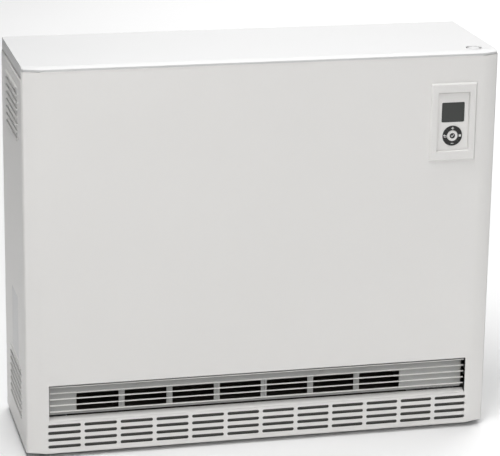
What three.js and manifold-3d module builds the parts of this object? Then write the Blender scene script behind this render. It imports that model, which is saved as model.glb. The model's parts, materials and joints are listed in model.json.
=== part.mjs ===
// Storage heater: a floor-standing, fan-assisted night storage heater in a white steel casing.
// Millimetres, +Z up, the front faces -Y. The origin is under the middle of the whole heater.
import * as THREE from 'three';
import { mergeVertices } from 'three/addons/utils/BufferGeometryUtils.js';
import { ConvexGeometry } from 'three/addons/geometries/ConvexGeometry.js';
import Module from 'manifold-3d';

const wasm = await Module();
wasm.setup();

// ---------- Driving dimensions ----------
const casingWidth = 780;
const casingHeight = 642;
const casingDepth = 243;
const footHeight = 8;
const wallGap = 7; // the wall rail holds the casing this far off the wall
const sheet = 1; // outer casing steel
const innerSheet = 1.2; // inner frame steel
const gap = 0.3; // between touching pieces
const seam = 0.8; // visible joint between outer panels

// Front panel ends
const cornerWidth = 28.5;
const cornerDepth = 8;
const cornerRadius = 3;
const sideReturn = 4.3;

// Lid
const skirtHeight = 19.3;
const lidLip = 3;
const lidBevelDepth = 12.5;
const lidBevelDrop = 2.5;
const plugRadius = 12.4;
const plugInset = 34; // from the right side and from the front

// Side louvres: two groups, one hood pressed outwards over each slot
const louvreLength = 128;
const louvreHeight = 6.4;
const louvreRise = 2.6; // a hood's lip in front of the panel's face
const louvreLift = 0.8; // a hood's lip above the lower edge of its slot
const louvreWall = 0.9;
const louvrePitch = 12;
const louvreCount = 8;
const upperLouvreTop = 44; // below the top of the casing
const lowerLouvreTop = 127; // above the casing's lower edge

// Air inlet slots
const inletColumns = 12;
const inletRows = 4;
const inletBar = 5.75; // between two slots of a row
const inletHeight = 5.6;
const inletOverhang = 2.1; // the rows reach this far past the outlet's ends
const inletPitchZ = 11.87;
const inletFirstRow = 11.2; // above the casing's lower edge

// Air outlet
const outletSideInset = 36.5; // from each side of the casing
const outletBottom = 58.4; // above the casing's lower edge
const outletHeight = 58.1;
const ledgeDepth = 12;
const ledgeRise = 0.8;
const ledgeRadius = 4;
const bladeCount = 5;
const bladePitch = 10.6;
const bladeFirst = 70.2; // lowest blade above the casing's lower edge
const bladeDepth = 3.6;
const bladeThickness = 1.2;
const bladeRecess = 3; // nose behind the front face
const bladeEndGap = 2;
const ribThickness = 1.2;
const backplateRecess = 15; // front face of the backplate behind the front face
const windowCount = 7;
const windowBar = 9.8; // between two windows
const windowsPastCore = 11.3;
const windowHeight = 29;
const windowBottom = 67;
const latchPlaces = [{ rib: 1, past: 29.5 }, { rib: 5, past: 20.3 }]; // beside inner ribs
const latchHeight = 103.3;
const latchRadius = 2.6;

// Wall rail, cable hole and electrics
const railFromSide = 90;
const railBelowTop = 57;
const railHeight = 40;
const cableHoleFromSide = 60;
const cableHoleRise = 70; // above the casing's lower edge
const cableHoleRadius = 11;
const relayBoardSpace = 40; // in front of the rear
const relayBoardRise = 60; // above the core shelf
const relayBoardHeight = 170;
const thermostatRise = 200; // above the core shelf
const thermostatSpace = 36; // behind the heating elements

// Control unit
const controlWidth = 78;
const controlHeight = 130;
const controlFromSide = 76; // its middle from the casing's right side
const controlBelowTop = 114.3; // its middle below the casing's top
const controlRise = 4;
const controlSlope = 2.5; // sloped rim of the bezel
const recessSideMargin = 12.75;
const recessEndMargin = 17;
const recessTaper = 1.2;
const recessDepth = 4.6;
const faceplateThickness = 2;
const neckWall = 2;
const displayWidth = 38.2;
const displayHeight = 32.4;
const displayAbove = 15.5; // its middle above the control's
const displayCorner = 2;
const keyRingBelow = 23.8; // its middle below the control's
const keyRingRadius = 16.5;
const keyInnerRadius = 8.9;
const keyTravel = 0.5;
const keyGap = 0.35;
const keyProud = 0.7;
const keyThickness = 2.4;
const stemRadius = 1.2;
const boardThickness = 1.6;
const housingDepth = 34;

// Core
const brickColumns = 3;
const brickLayers = 6;
const brickJoint = 0.6;
const channelWidth = 50;
const channelDepth = 16;
const channelsPerBrick = 2;
const channelOffsetY = 58; // each row of channels from the middle of the core
const elementRadius = 4;
const elementSpan = 25; // each leg from the middle of the hairpin
const elementClearance = 0.6;
const floorInsulation = 40;
const frontInsulation = 32;
const rearInsulation = 30;
const sideInsulation = 50;
const topInsulation = 60;
const plenumDepth = 12;
const coverSheet = 0.8;
const coverGap = 6.8; // inner front cover behind the front panel
const leftSpace = 42.1; // between the inner frame and the left side panel
const electricsSpace = 106.1; // between the inner frame and the right side panel
const rearSpace = 2.5; // between the inner frame and the rear panel
const lidSpace = 35.7; // between the core's cover sheet and the lid

// Fan compartment
const compartmentHeight = 140; // from the casing's lower edge to the shelf
const shelfThickness = 1.5;
const bearerWidth = 24;
const rotorRadius = 30;
const rotorBlades = 16;
const rotorDiscThickness = 2;
const shaftRadius = 4;
const fanFromRear = 68; // axis in front of the rear face
const fanZ = 60;
const scrollClearance = 4;
const scrollGrowth = 16;
const motorRadius = 32;
const motorLength = 46;
const bearingRadius = 13;
const bearingLength = 10;

// ---------- Derived places ----------
const halfWidth = casingWidth / 2;
const frontY = -(casingDepth + wallGap + controlRise) / 2 + controlRise;
const rearY = frontY + casingDepth;
const wallY = rearY + wallGap;
const bottomZ = footHeight;
const topZ = bottomZ + casingHeight;
const middleY = (frontY + rearY) / 2;
const outletHalfWidth = halfWidth - outletSideInset;
const inletSpan = 2 * (outletHalfWidth + inletOverhang);
const inletLength = (inletSpan - (inletColumns - 1) * inletBar) / inletColumns;
const inletPitchX = inletLength + inletBar;
const cornerY = frontY + cornerDepth;
const sideFrontY = cornerY + sideReturn;
const seamZ = topZ - skirtHeight;

const recessWidth = controlWidth - 2 * recessSideMargin;
const recessHeight = controlHeight - 2 * recessEndMargin;
const controlX = halfWidth - controlFromSide;

// The windows, the fan and the core share one middle.
const coreCentreX = (leftSpace - electricsSpace) / 2;
const coreHalf = halfWidth - sheet - (leftSpace + electricsSpace) / 2 - innerSheet -
  sideInsulation - 2 * gap;
const brickWidth = (2 * coreHalf - (brickColumns - 1) * brickJoint) / brickColumns;
const windowSpan = 2 * (coreHalf + windowsPastCore);
const windowWidth = (windowSpan - (windowCount - 1) * windowBar) / windowCount;
const windowPitch = windowWidth + windowBar;
const latchX = latchPlaces.map(({ rib, past }) =>
  coreCentreX + (rib - windowCount / 2) * windowPitch + past);
const coverY = frontY + sheet + coverGap;
const flangeFrontY = coverY + coverSheet + gap;
const frontInsulationY = flangeFrontY + innerSheet + gap;
const brickFrontY = frontInsulationY + frontInsulation + gap;
const flangeRearY = rearY - sheet - rearSpace - innerSheet;
const rearInsulationY = flangeRearY - gap - rearInsulation;
const brickRearY = rearInsulationY - gap;
const coreY = (brickFrontY + brickRearY) / 2;
const innerLeftX = coreCentreX - coreHalf - gap - sideInsulation - gap;
const innerRightX = coreCentreX + coreHalf + gap + sideInsulation + gap;
const trayThickness = 1.2;
const trayTop = bottomZ + trayThickness;
const shelfZ = bottomZ + compartmentHeight;
const floorInsulationZ = shelfZ + shelfThickness + gap;
const coreZ = floorInsulationZ + floorInsulation + gap;
const coverZ = topZ - sheet - lidSpace - coverSheet;
const topInsulationZ = coverZ - gap - topInsulation;
const coreTopZ = topInsulationZ - gap;
const layerPitch = (coreTopZ - coreZ) / brickLayers;
const brickHeight = layerPitch - gap;
const fanY = rearY - fanFromRear;
const fanAxisZ = bottomZ + fanZ;
const backplateY = frontY + backplateRecess;

// ---------- Materials ----------
const paint = (name, color, roughness, metalness = 0) =>
  new THREE.MeshStandardMaterial({ name, color, roughness, metalness });
const looks = {
  whitePaint: () => paint('white_paint', 0xe6e5e1, 0.45),
  lidPaint: () => paint('lid_paint', 0xf1f1ef, 0.45),
  galvanised: () => paint('galvanised_steel', 0xa8abad, 0.4, 0.9),
  grillePaint: () => paint('grille_paint', 0xc9c8c4, 0.4, 0.2),
  greyPaint: () => paint('grey_paint', 0x8f8f8b, 0.5, 0.1),
  whitePlastic: () => paint('white_plastic', 0xe4e3df, 0.4),
  darkPlastic: () => paint('dark_plastic', 0x2c2c2a, 0.35),
  displayGlass: () => paint('display_glass', 0x3a3c39, 0.1),
  circuitBoard: () => paint('circuit_board', 0x1f5a35, 0.5),
  insulation: () => paint('insulation', 0xd6cdb8, 0.95),
  magnetite: () => paint('magnetite_brick', 0x4a3f39, 0.9),
  elementSteel: () => paint('element_steel', 0x6f6a63, 0.4, 0.9),
  blackSteel: () => paint('black_steel', 0x2b2b2b, 0.5, 0.6),
  aluminium: () => paint('aluminium', 0xc4c6c8, 0.35, 0.95),
  rubber: () => paint('rubber', 0x222222, 0.85),
  filterMesh: () => paint('filter_mesh', 0x4a4a48, 0.8),
};

// ---------- Shapes ----------
const at = (x, y) => new THREE.Vector2(x, y);

const toSolid = (geometry) => {
  const bare = geometry.index ? geometry.toNonIndexed() : geometry.clone();
  bare.deleteAttribute('normal');
  bare.deleteAttribute('uv');
  const merged = mergeVertices(bare, 1e-4);
  const vertProperties = new Float32Array(merged.attributes.position.array);
  const triVerts = new Uint32Array(merged.index.array);
  return new wasm.Manifold(new wasm.Mesh({ numProp: 3, vertProperties, triVerts }));
};

const toGeometry = (solid) => {
  const mesh = solid.getMesh();
  const geometry = new THREE.BufferGeometry();
  geometry.setAttribute('position', new THREE.BufferAttribute(mesh.vertProperties, 3));
  geometry.setIndex(new THREE.BufferAttribute(mesh.triVerts, 1));
  geometry.computeVertexNormals();
  return geometry;
};

const join = (...pieces) => pieces.reduce((whole, piece) => whole.add(piece));
const cut = (solid, ...tools) => tools.reduce((rest, tool) => rest.subtract(tool), solid);

const block = ([x0, x1], [y0, y1], [z0, z1]) => {
  const geometry = new THREE.BoxGeometry(x1 - x0, y1 - y0, z1 - z0);
  return toSolid(geometry.translate((x0 + x1) / 2, (y0 + y1) / 2, (z0 + z1) / 2));
};

const extruded = (outline, length) => {
  const shape = new THREE.Shape(outline);
  return new THREE.ExtrudeGeometry(shape, { depth: length, bevelEnabled: false });
};

// Outline in (y, z), drawn along X.
const alongX = (outline, [x0, x1]) => {
  const turn = new THREE.Matrix4().makeBasis(
    new THREE.Vector3(0, 1, 0), new THREE.Vector3(0, 0, 1), new THREE.Vector3(1, 0, 0));
  return toSolid(extruded(outline, x1 - x0).applyMatrix4(turn).translate(x0, 0, 0));
};

// Outline in (x, z), drawn along Y.
const alongY = (outline, [y0, y1]) =>
  toSolid(extruded(outline, y1 - y0).rotateX(Math.PI / 2).translate(0, y1, 0));

// Outline in (x, y), drawn along Z.
const alongZ = (outline, [z0, z1]) => toSolid(extruded(outline, z1 - z0).translate(0, 0, z0));

const rod = (axis, radius, [from, to], centre, sides = 24) => {
  const geometry = new THREE.CylinderGeometry(radius, radius, to - from, sides);
  if (axis === 'x') geometry.rotateZ(-Math.PI / 2);
  if (axis === 'z') geometry.rotateX(Math.PI / 2);
  const middle = new THREE.Vector3().copy(centre);
  middle[axis] = (from + to) / 2;
  return toSolid(geometry.translate(middle.x, middle.y, middle.z));
};

const arcPoints = (centre, radius, start, end, steps) =>
  Array.from({ length: steps + 1 }, (_, i) => {
    const angle = start + ((end - start) * i) / steps;
    return at(centre.x + radius * Math.cos(angle), centre.y + radius * Math.sin(angle));
  });

const rectangle = (x, y, width, height) => [
  at(x - width / 2, y - height / 2),
  at(x + width / 2, y - height / 2),
  at(x + width / 2, y + height / 2),
  at(x - width / 2, y + height / 2),
];

const roundedRectangle = (x, y, width, height, radius, steps = 3) =>
  [0, 1, 2, 3].flatMap((corner) => {
    const sx = corner === 0 || corner === 3 ? 1 : -1;
    const sy = corner < 2 ? 1 : -1;
    const centre = at(x + sx * (width / 2 - radius), y + sy * (height / 2 - radius));
    const start = (corner * Math.PI) / 2;
    return arcPoints(centre, radius, start, start + Math.PI / 2, steps);
  });

// A slot with round ends, along the outline's first axis.
const slotOutline = (x, y, length, height, steps = 4) => {
  const reach = length / 2 - height / 2;
  const right = arcPoints(at(x + reach, y), height / 2, -Math.PI / 2, Math.PI / 2, steps);
  const left = arcPoints(at(x - reach, y), height / 2, Math.PI / 2, 1.5 * Math.PI, steps);
  return [...right, ...left];
};

// Replaces a corner of a bent path by an arc.
const bend = (before, corner, after, radius, steps = 3) => {
  const back = before.clone().sub(corner).normalize();
  const on = after.clone().sub(corner).normalize();
  const half = Math.acos(back.dot(on)) / 2;
  const inward = back.clone().add(on).normalize();
  const centre = corner.clone().addScaledVector(inward, radius / Math.sin(half));
  const start = corner.clone().addScaledVector(back, radius / Math.tan(half)).sub(centre);
  const end = corner.clone().addScaledVector(on, radius / Math.tan(half)).sub(centre);
  const turn = Math.atan2(start.cross(end), start.dot(end));
  return arcPoints(centre, radius, start.angle(), start.angle() + turn, steps);
};

// The outline of a folded sheet: the path, and the same path one wall to its left.
const folded = (path, wall) => {
  const direction = (i) => path[i + 1].clone().sub(path[i]).normalize();
  const inside = path.map((point, i) => {
    const before = direction(Math.max(i - 1, 0));
    const after = direction(Math.min(i, path.length - 2));
    const along = before.clone().add(after).normalize();
    const left = at(-along.y, along.x);
    return point.clone().addScaledVector(left, wall / along.dot(before));
  });
  return [...path, ...inside.reverse()];
};

const group = new THREE.Group();
const place = (name, solid, material) => {
  const mesh = new THREE.Mesh(toGeometry(solid), material);
  mesh.name = name;
  group.add(mesh);
  return mesh;
};

// ---------- Casing ----------
const halfOutline = [
  at(-halfWidth, sideFrontY),
  ...bend(at(-halfWidth, sideFrontY), at(-halfWidth, cornerY),
    at(-halfWidth + cornerWidth, frontY), cornerRadius),
  at(-halfWidth + cornerWidth, frontY),
];
const mirrored = (points) => points.map((p) => at(-p.x, p.y)).reverse();
const frontPath = [...halfOutline, ...mirrored(halfOutline)];

const footRails = () => {
  const railWidth = 40;
  const railInset = 30;
  const fromFront = 30;
  const wall = 2;
  for (const [name, side] of [['left_foot_rail', -1], ['right_foot_rail', 1]]) {
    const middle = side * (halfWidth - railInset - railWidth / 2);
    const channel = folded([
      at(middle - railWidth / 2, bottomZ - gap), at(middle - railWidth / 2, 0),
      at(middle + railWidth / 2, 0), at(middle + railWidth / 2, bottomZ - gap),
    ], wall);
    const screwHoles = [0.2, 0.8].map((share) => {
      const y = frontY + fromFront + share * (casingDepth - 2 * fromFront);
      return rod('z', 4.5, [-1, wall + 1], { x: middle, y, z: 0 }, 12);
    });
    const rail = alongY(channel, [frontY + fromFront, rearY - fromFront]);
    place(name, cut(rail, ...screwHoles), looks.blackSteel());
  }
};

const trayHalf = halfWidth - sheet - gap;
const trayRearY = rearY - sheet - gap - sheet - gap;
const baseTray = () => {
  const upturn = 14;
  const frontUpturn = 6;
  const wall = trayThickness;
  const trayFrontY = sideFrontY + gap + sheet + gap;
  const pan = block([-trayHalf, trayHalf], [trayFrontY, trayRearY], [bottomZ, bottomZ + upturn]);
  const inside = block([-trayHalf + wall, trayHalf - wall],
    [trayFrontY + wall, trayRearY - wall], [trayTop, bottomZ + upturn + 1]);
  const frontCut = block([-trayHalf - 1, trayHalf + 1], [trayFrontY - 1, trayFrontY + 2 * wall],
    [bottomZ + frontUpturn, bottomZ + upturn + 1]);
  place('base_tray', cut(pan, inside, frontCut), looks.galvanised());
};

const cableHole = {
  x: halfWidth - cableHoleFromSide,
  z: bottomZ + cableHoleRise,
  radius: cableHoleRadius,
};
const rearPanel = () => {
  const half = halfWidth - sheet - gap;
  const panel = block([-half, half], [rearY - sheet, rearY], [bottomZ, seamZ - seam]);
  const hole = rod('y', cableHole.radius, [rearY - 3, rearY + 1], cableHole, 20);
  place('rear_panel', cut(panel, hole), looks.galvanised());
};

const wallRail = () => {
  const half = halfWidth - railFromSide;
  const wall = 1.5;
  const railZ = [topZ - railBelowTop - railHeight, topZ - railBelowTop];
  const section = folded([
    at(rearY + gap, railZ[0]), at(wallY, railZ[0]), at(wallY, railZ[1]),
    at(rearY + gap, railZ[1]),
  ], wall);
  const screwHoles = [-0.85, -0.3, 0.3, 0.85].map((share) =>
    rod('y', 4, [wallY - 3, wallY + 1], { x: share * half, z: (railZ[0] + railZ[1]) / 2 }, 12));
  place('wall_rail', cut(alongX(section, [-half, half]), ...screwHoles), looks.galvanised());
};

// A hood that slopes outwards and down from the upper edge of its slot, closed at both ends.
const louvreHood = (outer, side, low, [y0, y1]) => {
  const rootX = -sheet / 2;
  const rootZ = louvreHeight + sheet / 2;
  const slope = (rootZ - louvreLift) / louvreRise;
  const innerLip = louvreRise - louvreWall;
  const innerRoot = at(rootX, louvreLift + (innerLip - rootX) * slope);
  const placed = (points) => points.map((point) => at(outer + side * point.x, low + point.y));
  const roof = placed([
    at(rootX, rootZ), at(0, rootZ), at(louvreRise, louvreLift), at(innerLip, louvreLift),
    innerRoot,
  ]);
  const end = placed([
    at(rootX, rootZ), at(0, rootZ), at(louvreRise, louvreLift), at(rootX, louvreLift),
  ]);
  const ends = [[y0 - sheet / 2, y0 + sheet / 2], [y1 - sheet / 2, y1 + sheet / 2]];
  return join(alongY(roof, [y0, y1]), ...ends.map((y) => alongY(end, y)));
};

const sidePanel = (name, side) => {
  const outer = side * halfWidth;
  const inner = side * (halfWidth - sheet);
  const flangeWidth = 12;
  const flange = side * (halfWidth - flangeWidth);
  const y = [sideFrontY + gap, rearY];
  const z = [bottomZ, seamZ - seam];
  const span = (a, b) => [Math.min(a, b), Math.max(a, b)];
  const louvreY = [middleY - louvreLength / 2, middleY + louvreLength / 2];
  const solid = block(span(outer, flange), [y[0], rearY - sheet - gap], z);
  const hollow = block(span(inner, flange - side), [y[0] + sheet, rearY - 2 * sheet - gap],
    [z[0] - 1, z[1] - sheet]);
  let panel = join(cut(solid, hollow), block(span(outer, inner), [middleY, rearY], z));
  for (const top of [topZ - upperLouvreTop, bottomZ + lowerLouvreTop]) {
    for (let i = 0; i < louvreCount; i += 1) {
      const low = top - i * louvrePitch - louvreHeight / 2;
      const slot = block(span(outer + side, inner - side), louvreY, [low, low + louvreHeight]);
      panel = join(cut(panel, slot), louvreHood(outer, side, low, louvreY));
    }
  }
  place(name, panel, looks.whitePaint());
};

const inletSlots = () => {
  const slots = [];
  for (let column = 0; column < inletColumns; column += 1) {
    for (let row = 0; row < inletRows; row += 1) {
      const x = (column - (inletColumns - 1) / 2) * inletPitchX;
      const z = bottomZ + inletFirstRow + row * inletPitchZ;
      slots.push(alongY(slotOutline(x, z, inletLength, inletHeight), [frontY - 1, frontY + 2]));
    }
  }
  return wasm.Manifold.union(slots);
};

const neckWidth = recessWidth + 2 * neckWall;
const neckHeight = recessHeight + 2 * neckWall;
const controlMiddleZ = topZ - controlBelowTop;
const ledgeZ = bottomZ + outletBottom;
const outletTopZ = ledgeZ + outletHeight;

const frontPanel = () => {
  const z = [bottomZ, topZ - lidLip - lidBevelDrop - seam];
  const flat = halfWidth - cornerWidth;
  const flangeDepth = [frontY + sheet / 2, frontY + sheet + 10];
  const foldZ = ledgeZ - ledgeRadius - 2;
  const opening = block([-outletHalfWidth, outletHalfWidth], [frontY - 1, frontY + 3],
    [foldZ + 1, outletTopZ]);
  const aperture = block([controlX - neckWidth / 2 - gap, controlX + neckWidth / 2 + gap],
    [frontY - 1, frontY + 3],
    [controlMiddleZ - neckHeight / 2 - gap, controlMiddleZ + neckHeight / 2 + gap]);
  const ledgeRear = at(frontY + ledgeDepth, ledgeZ + ledgeRise);
  const fold = at(frontY, ledgeZ);
  const foot = at(frontY, foldZ);
  const ledge = folded([ledgeRear, ...bend(ledgeRear, fold, foot, ledgeRadius), foot], sheet);
  const panel = join(
    cut(alongZ(folded(frontPath, sheet), z), opening, aperture),
    block([-flat, flat], flangeDepth, [z[0], z[0] + sheet]),
    block([-flat, flat], flangeDepth, [z[1] - sheet, z[1]]),
    alongX(ledge, [-outletHalfWidth, outletHalfWidth]),
  );
  place('front_panel', cut(panel, inletSlots()), looks.whitePaint());
};

// The lid's shell is a bevelled convex block less the same block one wall inside it.
const lidBlock = (wall, low) => {
  const outline = [
    ...halfOutline.map((p) => at(p.x + wall, p.y + wall)),
    ...mirrored(halfOutline).map((p) => at(p.x - wall, p.y + wall)),
    at(halfWidth - wall, rearY - wall), at(-halfWidth + wall, rearY - wall),
  ];
  const bevelled = outline.map((p) => at(p.x, Math.min(p.y + lidBevelDepth, rearY - wall)));
  const high = topZ - wall;
  return toSolid(new ConvexGeometry([
    ...outline.map((p) => new THREE.Vector3(p.x, p.y, low)),
    ...outline.map((p) => new THREE.Vector3(p.x, p.y, high - lidBevelDrop)),
    ...bevelled.map((p) => new THREE.Vector3(p.x, p.y, high)),
  ]));
};

const plugX = halfWidth - plugInset;
const plugY = frontY + plugInset;
const lid = () => {
  const frontCut = block([-halfWidth - 1, halfWidth + 1], [frontY - 1, sideFrontY + gap],
    [seamZ - 1, topZ - lidLip - lidBevelDrop]);
  const hole = rod('z', plugRadius + gap, [topZ - 5, topZ + 1], { x: plugX, y: plugY }, 28);
  const shell = cut(lidBlock(0, seamZ), lidBlock(sheet, seamZ - 1), frontCut, hole);
  place('lid', shell, looks.lidPaint());
};

const lidPlug = () => {
  const rim = plugRadius;
  const lip = plugRadius + 1.2;
  const groove = 0.7;
  const profile = [
    at(0, -4), at(rim - 1, -4), at(lip, -sheet - gap - 1), at(lip, -sheet - gap),
    at(rim, -sheet - gap), at(rim, 0), at(rim - 2.5, 0), at(rim - 2.9, -groove),
    at(rim - 4.6, -groove), at(rim - 5, 0), at(0, 0),
  ];
  const turned = new THREE.LatheGeometry(profile, 28).rotateX(Math.PI / 2);
  place('lid_plug', toSolid(turned.translate(plugX, plugY, topZ)), looks.whitePlastic());
};

// ---------- Air outlet ----------
const outletGrille = () => {
  const half = outletHalfWidth - bladeEndGap;
  const noseY = frontY + bladeRecess;
  const first = bottomZ + bladeFirst;
  const bladeZ = Array.from({ length: bladeCount }, (_, i) => first + i * bladePitch);
  const blades = bladeZ.map((z) => {
    const r = bladeThickness / 2;
    const nose = arcPoints(at(noseY + r, z), r, Math.PI / 2, 1.5 * Math.PI, 3);
    return alongX([...nose, at(noseY + bladeDepth, z - r), at(noseY + bladeDepth, z + r)],
      [-half, half]);
  });
  const ribY = [noseY + bladeDepth - bladeThickness, backplateY - gap];
  const ribZ = [bladeZ[0] - bladeThickness, bladeZ[bladeCount - 1]];
  const ends = [-half + ribThickness / 2, half - ribThickness / 2];
  const bars = Array.from({ length: windowCount - 1 }, (_, i) =>
    coreCentreX + (i + 1 - windowCount / 2) * windowPitch);
  const ribs = [...ends, ...bars].map((x) =>
    block([x - ribThickness / 2, x + ribThickness / 2], ribY, ribZ));
  place('outlet_grille', wasm.Manifold.union([...blades, ...ribs]), looks.grillePaint());
};

const latchZ = bottomZ + latchHeight;
const grilleBackplate = () => {
  const z = [ledgeZ + ledgeRise + 1.8, outletTopZ - 6.3];
  const plate = block([-outletHalfWidth, outletHalfWidth - 3],
    [backplateY, backplateY + sheet], z);
  const windows = Array.from({ length: windowCount }, (_, i) => {
    const x = coreCentreX + (i - (windowCount - 1) / 2) * windowPitch;
    const middle = bottomZ + windowBottom + windowHeight / 2;
    const outline = roundedRectangle(x, middle, windowWidth, windowHeight, 1.5, 2);
    return alongY(outline, [backplateY - 1, backplateY + 2]);
  });
  const holes = latchX.map((x) =>
    rod('y', latchRadius + gap, [backplateY - 1, backplateY + 2], { x, z: latchZ }, 16));
  place('grille_backplate', cut(plate, ...windows, ...holes), looks.greyPaint());
};

// Quarter-turn fasteners: slotted head in front, tongue behind the plate.
const latches = () => {
  ['left_latch', 'right_latch'].forEach((name, i) => {
    const x = latchX[i];
    const head = [backplateY - gap - 1.4, backplateY - gap];
    const tongue = [backplateY + sheet + gap, backplateY + sheet + gap + 1.5];
    const slot = block([x - 0.5, x + 0.5], [head[0] - 1, head[0] + 0.7],
      [latchZ - 5, latchZ + 5]);
    const latch = cut(join(
      rod('y', latchRadius + 1.2, head, { x, z: latchZ }, 16),
      rod('y', latchRadius, [head[0] + 0.5, tongue[1]], { x, z: latchZ }, 16),
      block([x - 3, x + 3], tongue, [latchZ - 3, latchZ + 6.5]),
    ), slot);
    place(name, latch, looks.greyPaint());
  });
};

// ---------- Control unit ----------
const recessY = frontY - controlRise + recessDepth; // front of the faceplate
const faceplateRear = recessY + faceplateThickness;
const boardY = faceplateRear + 4;
const housingFront = faceplateRear + 1.5;
const keyRing = at(controlX, controlMiddleZ - keyRingBelow);
const displayMiddle = at(controlX, controlMiddleZ + displayAbove);

const tapered = (width, height, y0, grow, y1) => {
  const ring = (w, h, y) => rectangle(controlX, controlMiddleZ, w, h)
    .map((p) => new THREE.Vector3(p.x, y, p.y));
  return toSolid(new ConvexGeometry([
    ...ring(width, height, y0), ...ring(width + 2 * grow, height + 2 * grow, y1)]));
};

const controlBezel = () => {
  const face = frontY - controlRise;
  const width = controlWidth - 2 * controlSlope;
  const height = controlHeight - 2 * controlSlope;
  const rim = tapered(width, height, face, controlSlope, frontY - gap);
  const neck = block([controlX - neckWidth / 2, controlX + neckWidth / 2],
    [frontY - gap - 0.5, housingFront],
    [controlMiddleZ - neckHeight / 2, controlMiddleZ + neckHeight / 2]);
  const recess = tapered(recessWidth + 2 * recessTaper, recessHeight + 2 * recessTaper,
    face - 0.01, -recessTaper, recessY);
  const through = block([controlX - recessWidth / 2, controlX + recessWidth / 2],
    [recessY - 0.1, housingFront + 1],
    [controlMiddleZ - recessHeight / 2, controlMiddleZ + recessHeight / 2]);
  place('control_bezel', cut(join(rim, neck), recess, through), looks.whitePlastic());
};

const controlFaceplate = () => {
  const y = [recessY, faceplateRear];
  const through = [y[0] - 1, y[1] + 1];
  const plate = block([controlX - recessWidth / 2 + gap, controlX + recessWidth / 2 - gap], y,
    [controlMiddleZ - recessHeight / 2 + gap, controlMiddleZ + recessHeight / 2 - gap]);
  const display = roundedRectangle(displayMiddle.x, displayMiddle.y, displayWidth + 2 * gap,
    displayHeight + 2 * gap, displayCorner);
  const ring = rod('y', keyRingRadius + keyGap, through, { x: keyRing.x, z: keyRing.y }, 40);
  place('control_faceplate', cut(plate, alongY(display, through), ring), looks.whitePlastic());
};

const displayParts = () => {
  const pane = roundedRectangle(displayMiddle.x, displayMiddle.y, displayWidth, displayHeight,
    displayCorner);
  place('display_window', alongY(pane, [recessY - 0.2, recessY + 1.3]), looks.displayGlass());
  const module = rectangle(displayMiddle.x, displayMiddle.y, displayWidth - 1,
    displayHeight - 1);
  place('display_module', alongY(module, [recessY + 1.6, boardY - gap]), looks.darkPlastic());
};

// Four quarter keys in a ring round the centre key, each with a stem to the board.
const keys = () => {
  const y = [recessY - keyProud, recessY - keyProud + keyThickness];
  const stemY = [y[1] - 0.5, boardY - gap - keyTravel];
  const stem = (x, z) => rod('y', stemRadius, stemY, { x, z }, 10);
  const outer = keyRingRadius;
  const inner = keyInnerRadius + keyGap;
  const names = ['menu_key', 'plus_key', 'back_key', 'minus_key'];
  names.forEach((name, i) => {
    const middle = (i * Math.PI) / 2;
    const outerHalf = Math.PI / 4 - keyGap / 2 / outer;
    const innerHalf = Math.PI / 4 - keyGap / 2 / inner;
    const outline = [
      ...arcPoints(keyRing, outer, middle - outerHalf, middle + outerHalf, 8),
      ...arcPoints(keyRing, inner, middle + innerHalf, middle - innerHalf, 5),
    ];
    const reach = (outer + inner) / 2;
    const x = keyRing.x + reach * Math.cos(middle);
    const z = keyRing.y + reach * Math.sin(middle);
    place(name, join(alongY(outline, y), stem(x, z)), looks.darkPlastic());
  });
  const centre = rod('y', keyInnerRadius, y, { x: keyRing.x, z: keyRing.y }, 32);
  place('ok_key', join(centre, stem(keyRing.x, keyRing.y)), looks.whitePlastic());
};

const controlInside = () => {
  const board = rectangle(controlX, controlMiddleZ, recessWidth - 2, recessHeight - 2);
  place('control_board', alongY(board, [boardY, boardY + boardThickness]),
    looks.circuitBoard());
  const outer = rectangle(controlX, controlMiddleZ, neckWidth, neckHeight);
  const inner = rectangle(controlX, controlMiddleZ, recessWidth, recessHeight);
  const start = housingFront + gap;
  const end = housingFront + housingDepth;
  const housing = cut(alongY(outer, [start, end]), alongY(inner, [start - 1, end - neckWall]));
  place('control_housing', housing, looks.whitePlastic());
};

// ---------- Core ----------
const coreX = [coreCentreX - coreHalf, coreCentreX + coreHalf];
const insulationX = [innerLeftX + gap, innerRightX - gap];
const elementZ = (i) => coreZ + (2 * i + 1) * layerPitch - gap / 2;
const terminalReach = 24;

// A round tube along a level path, with flat ends.
const levelTube = (path, z, radius, sides = 8) => {
  const positions = [];
  const triangles = [];
  const heading = (a, b) => b.clone().sub(a).normalize();
  path.forEach((point, i) => {
    const before = heading(path[Math.max(i - 1, 0)], path[Math.max(i, 1)]);
    const last = path.length - 1;
    const after = heading(path[Math.min(i, last - 1)], path[Math.min(i + 1, last)]);
    const along = before.add(after).normalize();
    for (let k = 0; k < sides; k += 1) {
      const angle = ((k + 0.5) / sides) * 2 * Math.PI;
      const across = radius * Math.cos(angle);
      positions.push(point.x - along.y * across, point.y + along.x * across,
        z + radius * Math.sin(angle));
      const next = (k + 1) % sides;
      const ring = i * sides;
      if (i < last) {
        triangles.push(ring + k, ring + next, ring + sides + k);
        triangles.push(ring + next, ring + sides + next, ring + sides + k);
      }
    }
  });
  const end = (path.length - 1) * sides;
  for (let k = 1; k < sides - 1; k += 1) {
    triangles.push(0, k + 1, k);
    triangles.push(end, end + k, end + k + 1);
  }
  const geometry = new THREE.BufferGeometry();
  geometry.setAttribute('position', new THREE.Float32BufferAttribute(positions, 3));
  geometry.setIndex(triangles);
  return toSolid(geometry);
};

// A hairpin: two legs along X joined by a half turn at the left.
const hairpin = (z, radius) => {
  const legEnd = innerRightX + innerSheet + terminalReach;
  const middle = at(coreX[0] + elementSpan + 15, coreY);
  const turn = arcPoints(middle, elementSpan, -Math.PI / 2, -1.5 * Math.PI, 10);
  const path = [at(legEnd, coreY - elementSpan), ...turn, at(legEnd, coreY + elementSpan)];
  return levelTube(path, z, radius);
};

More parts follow.
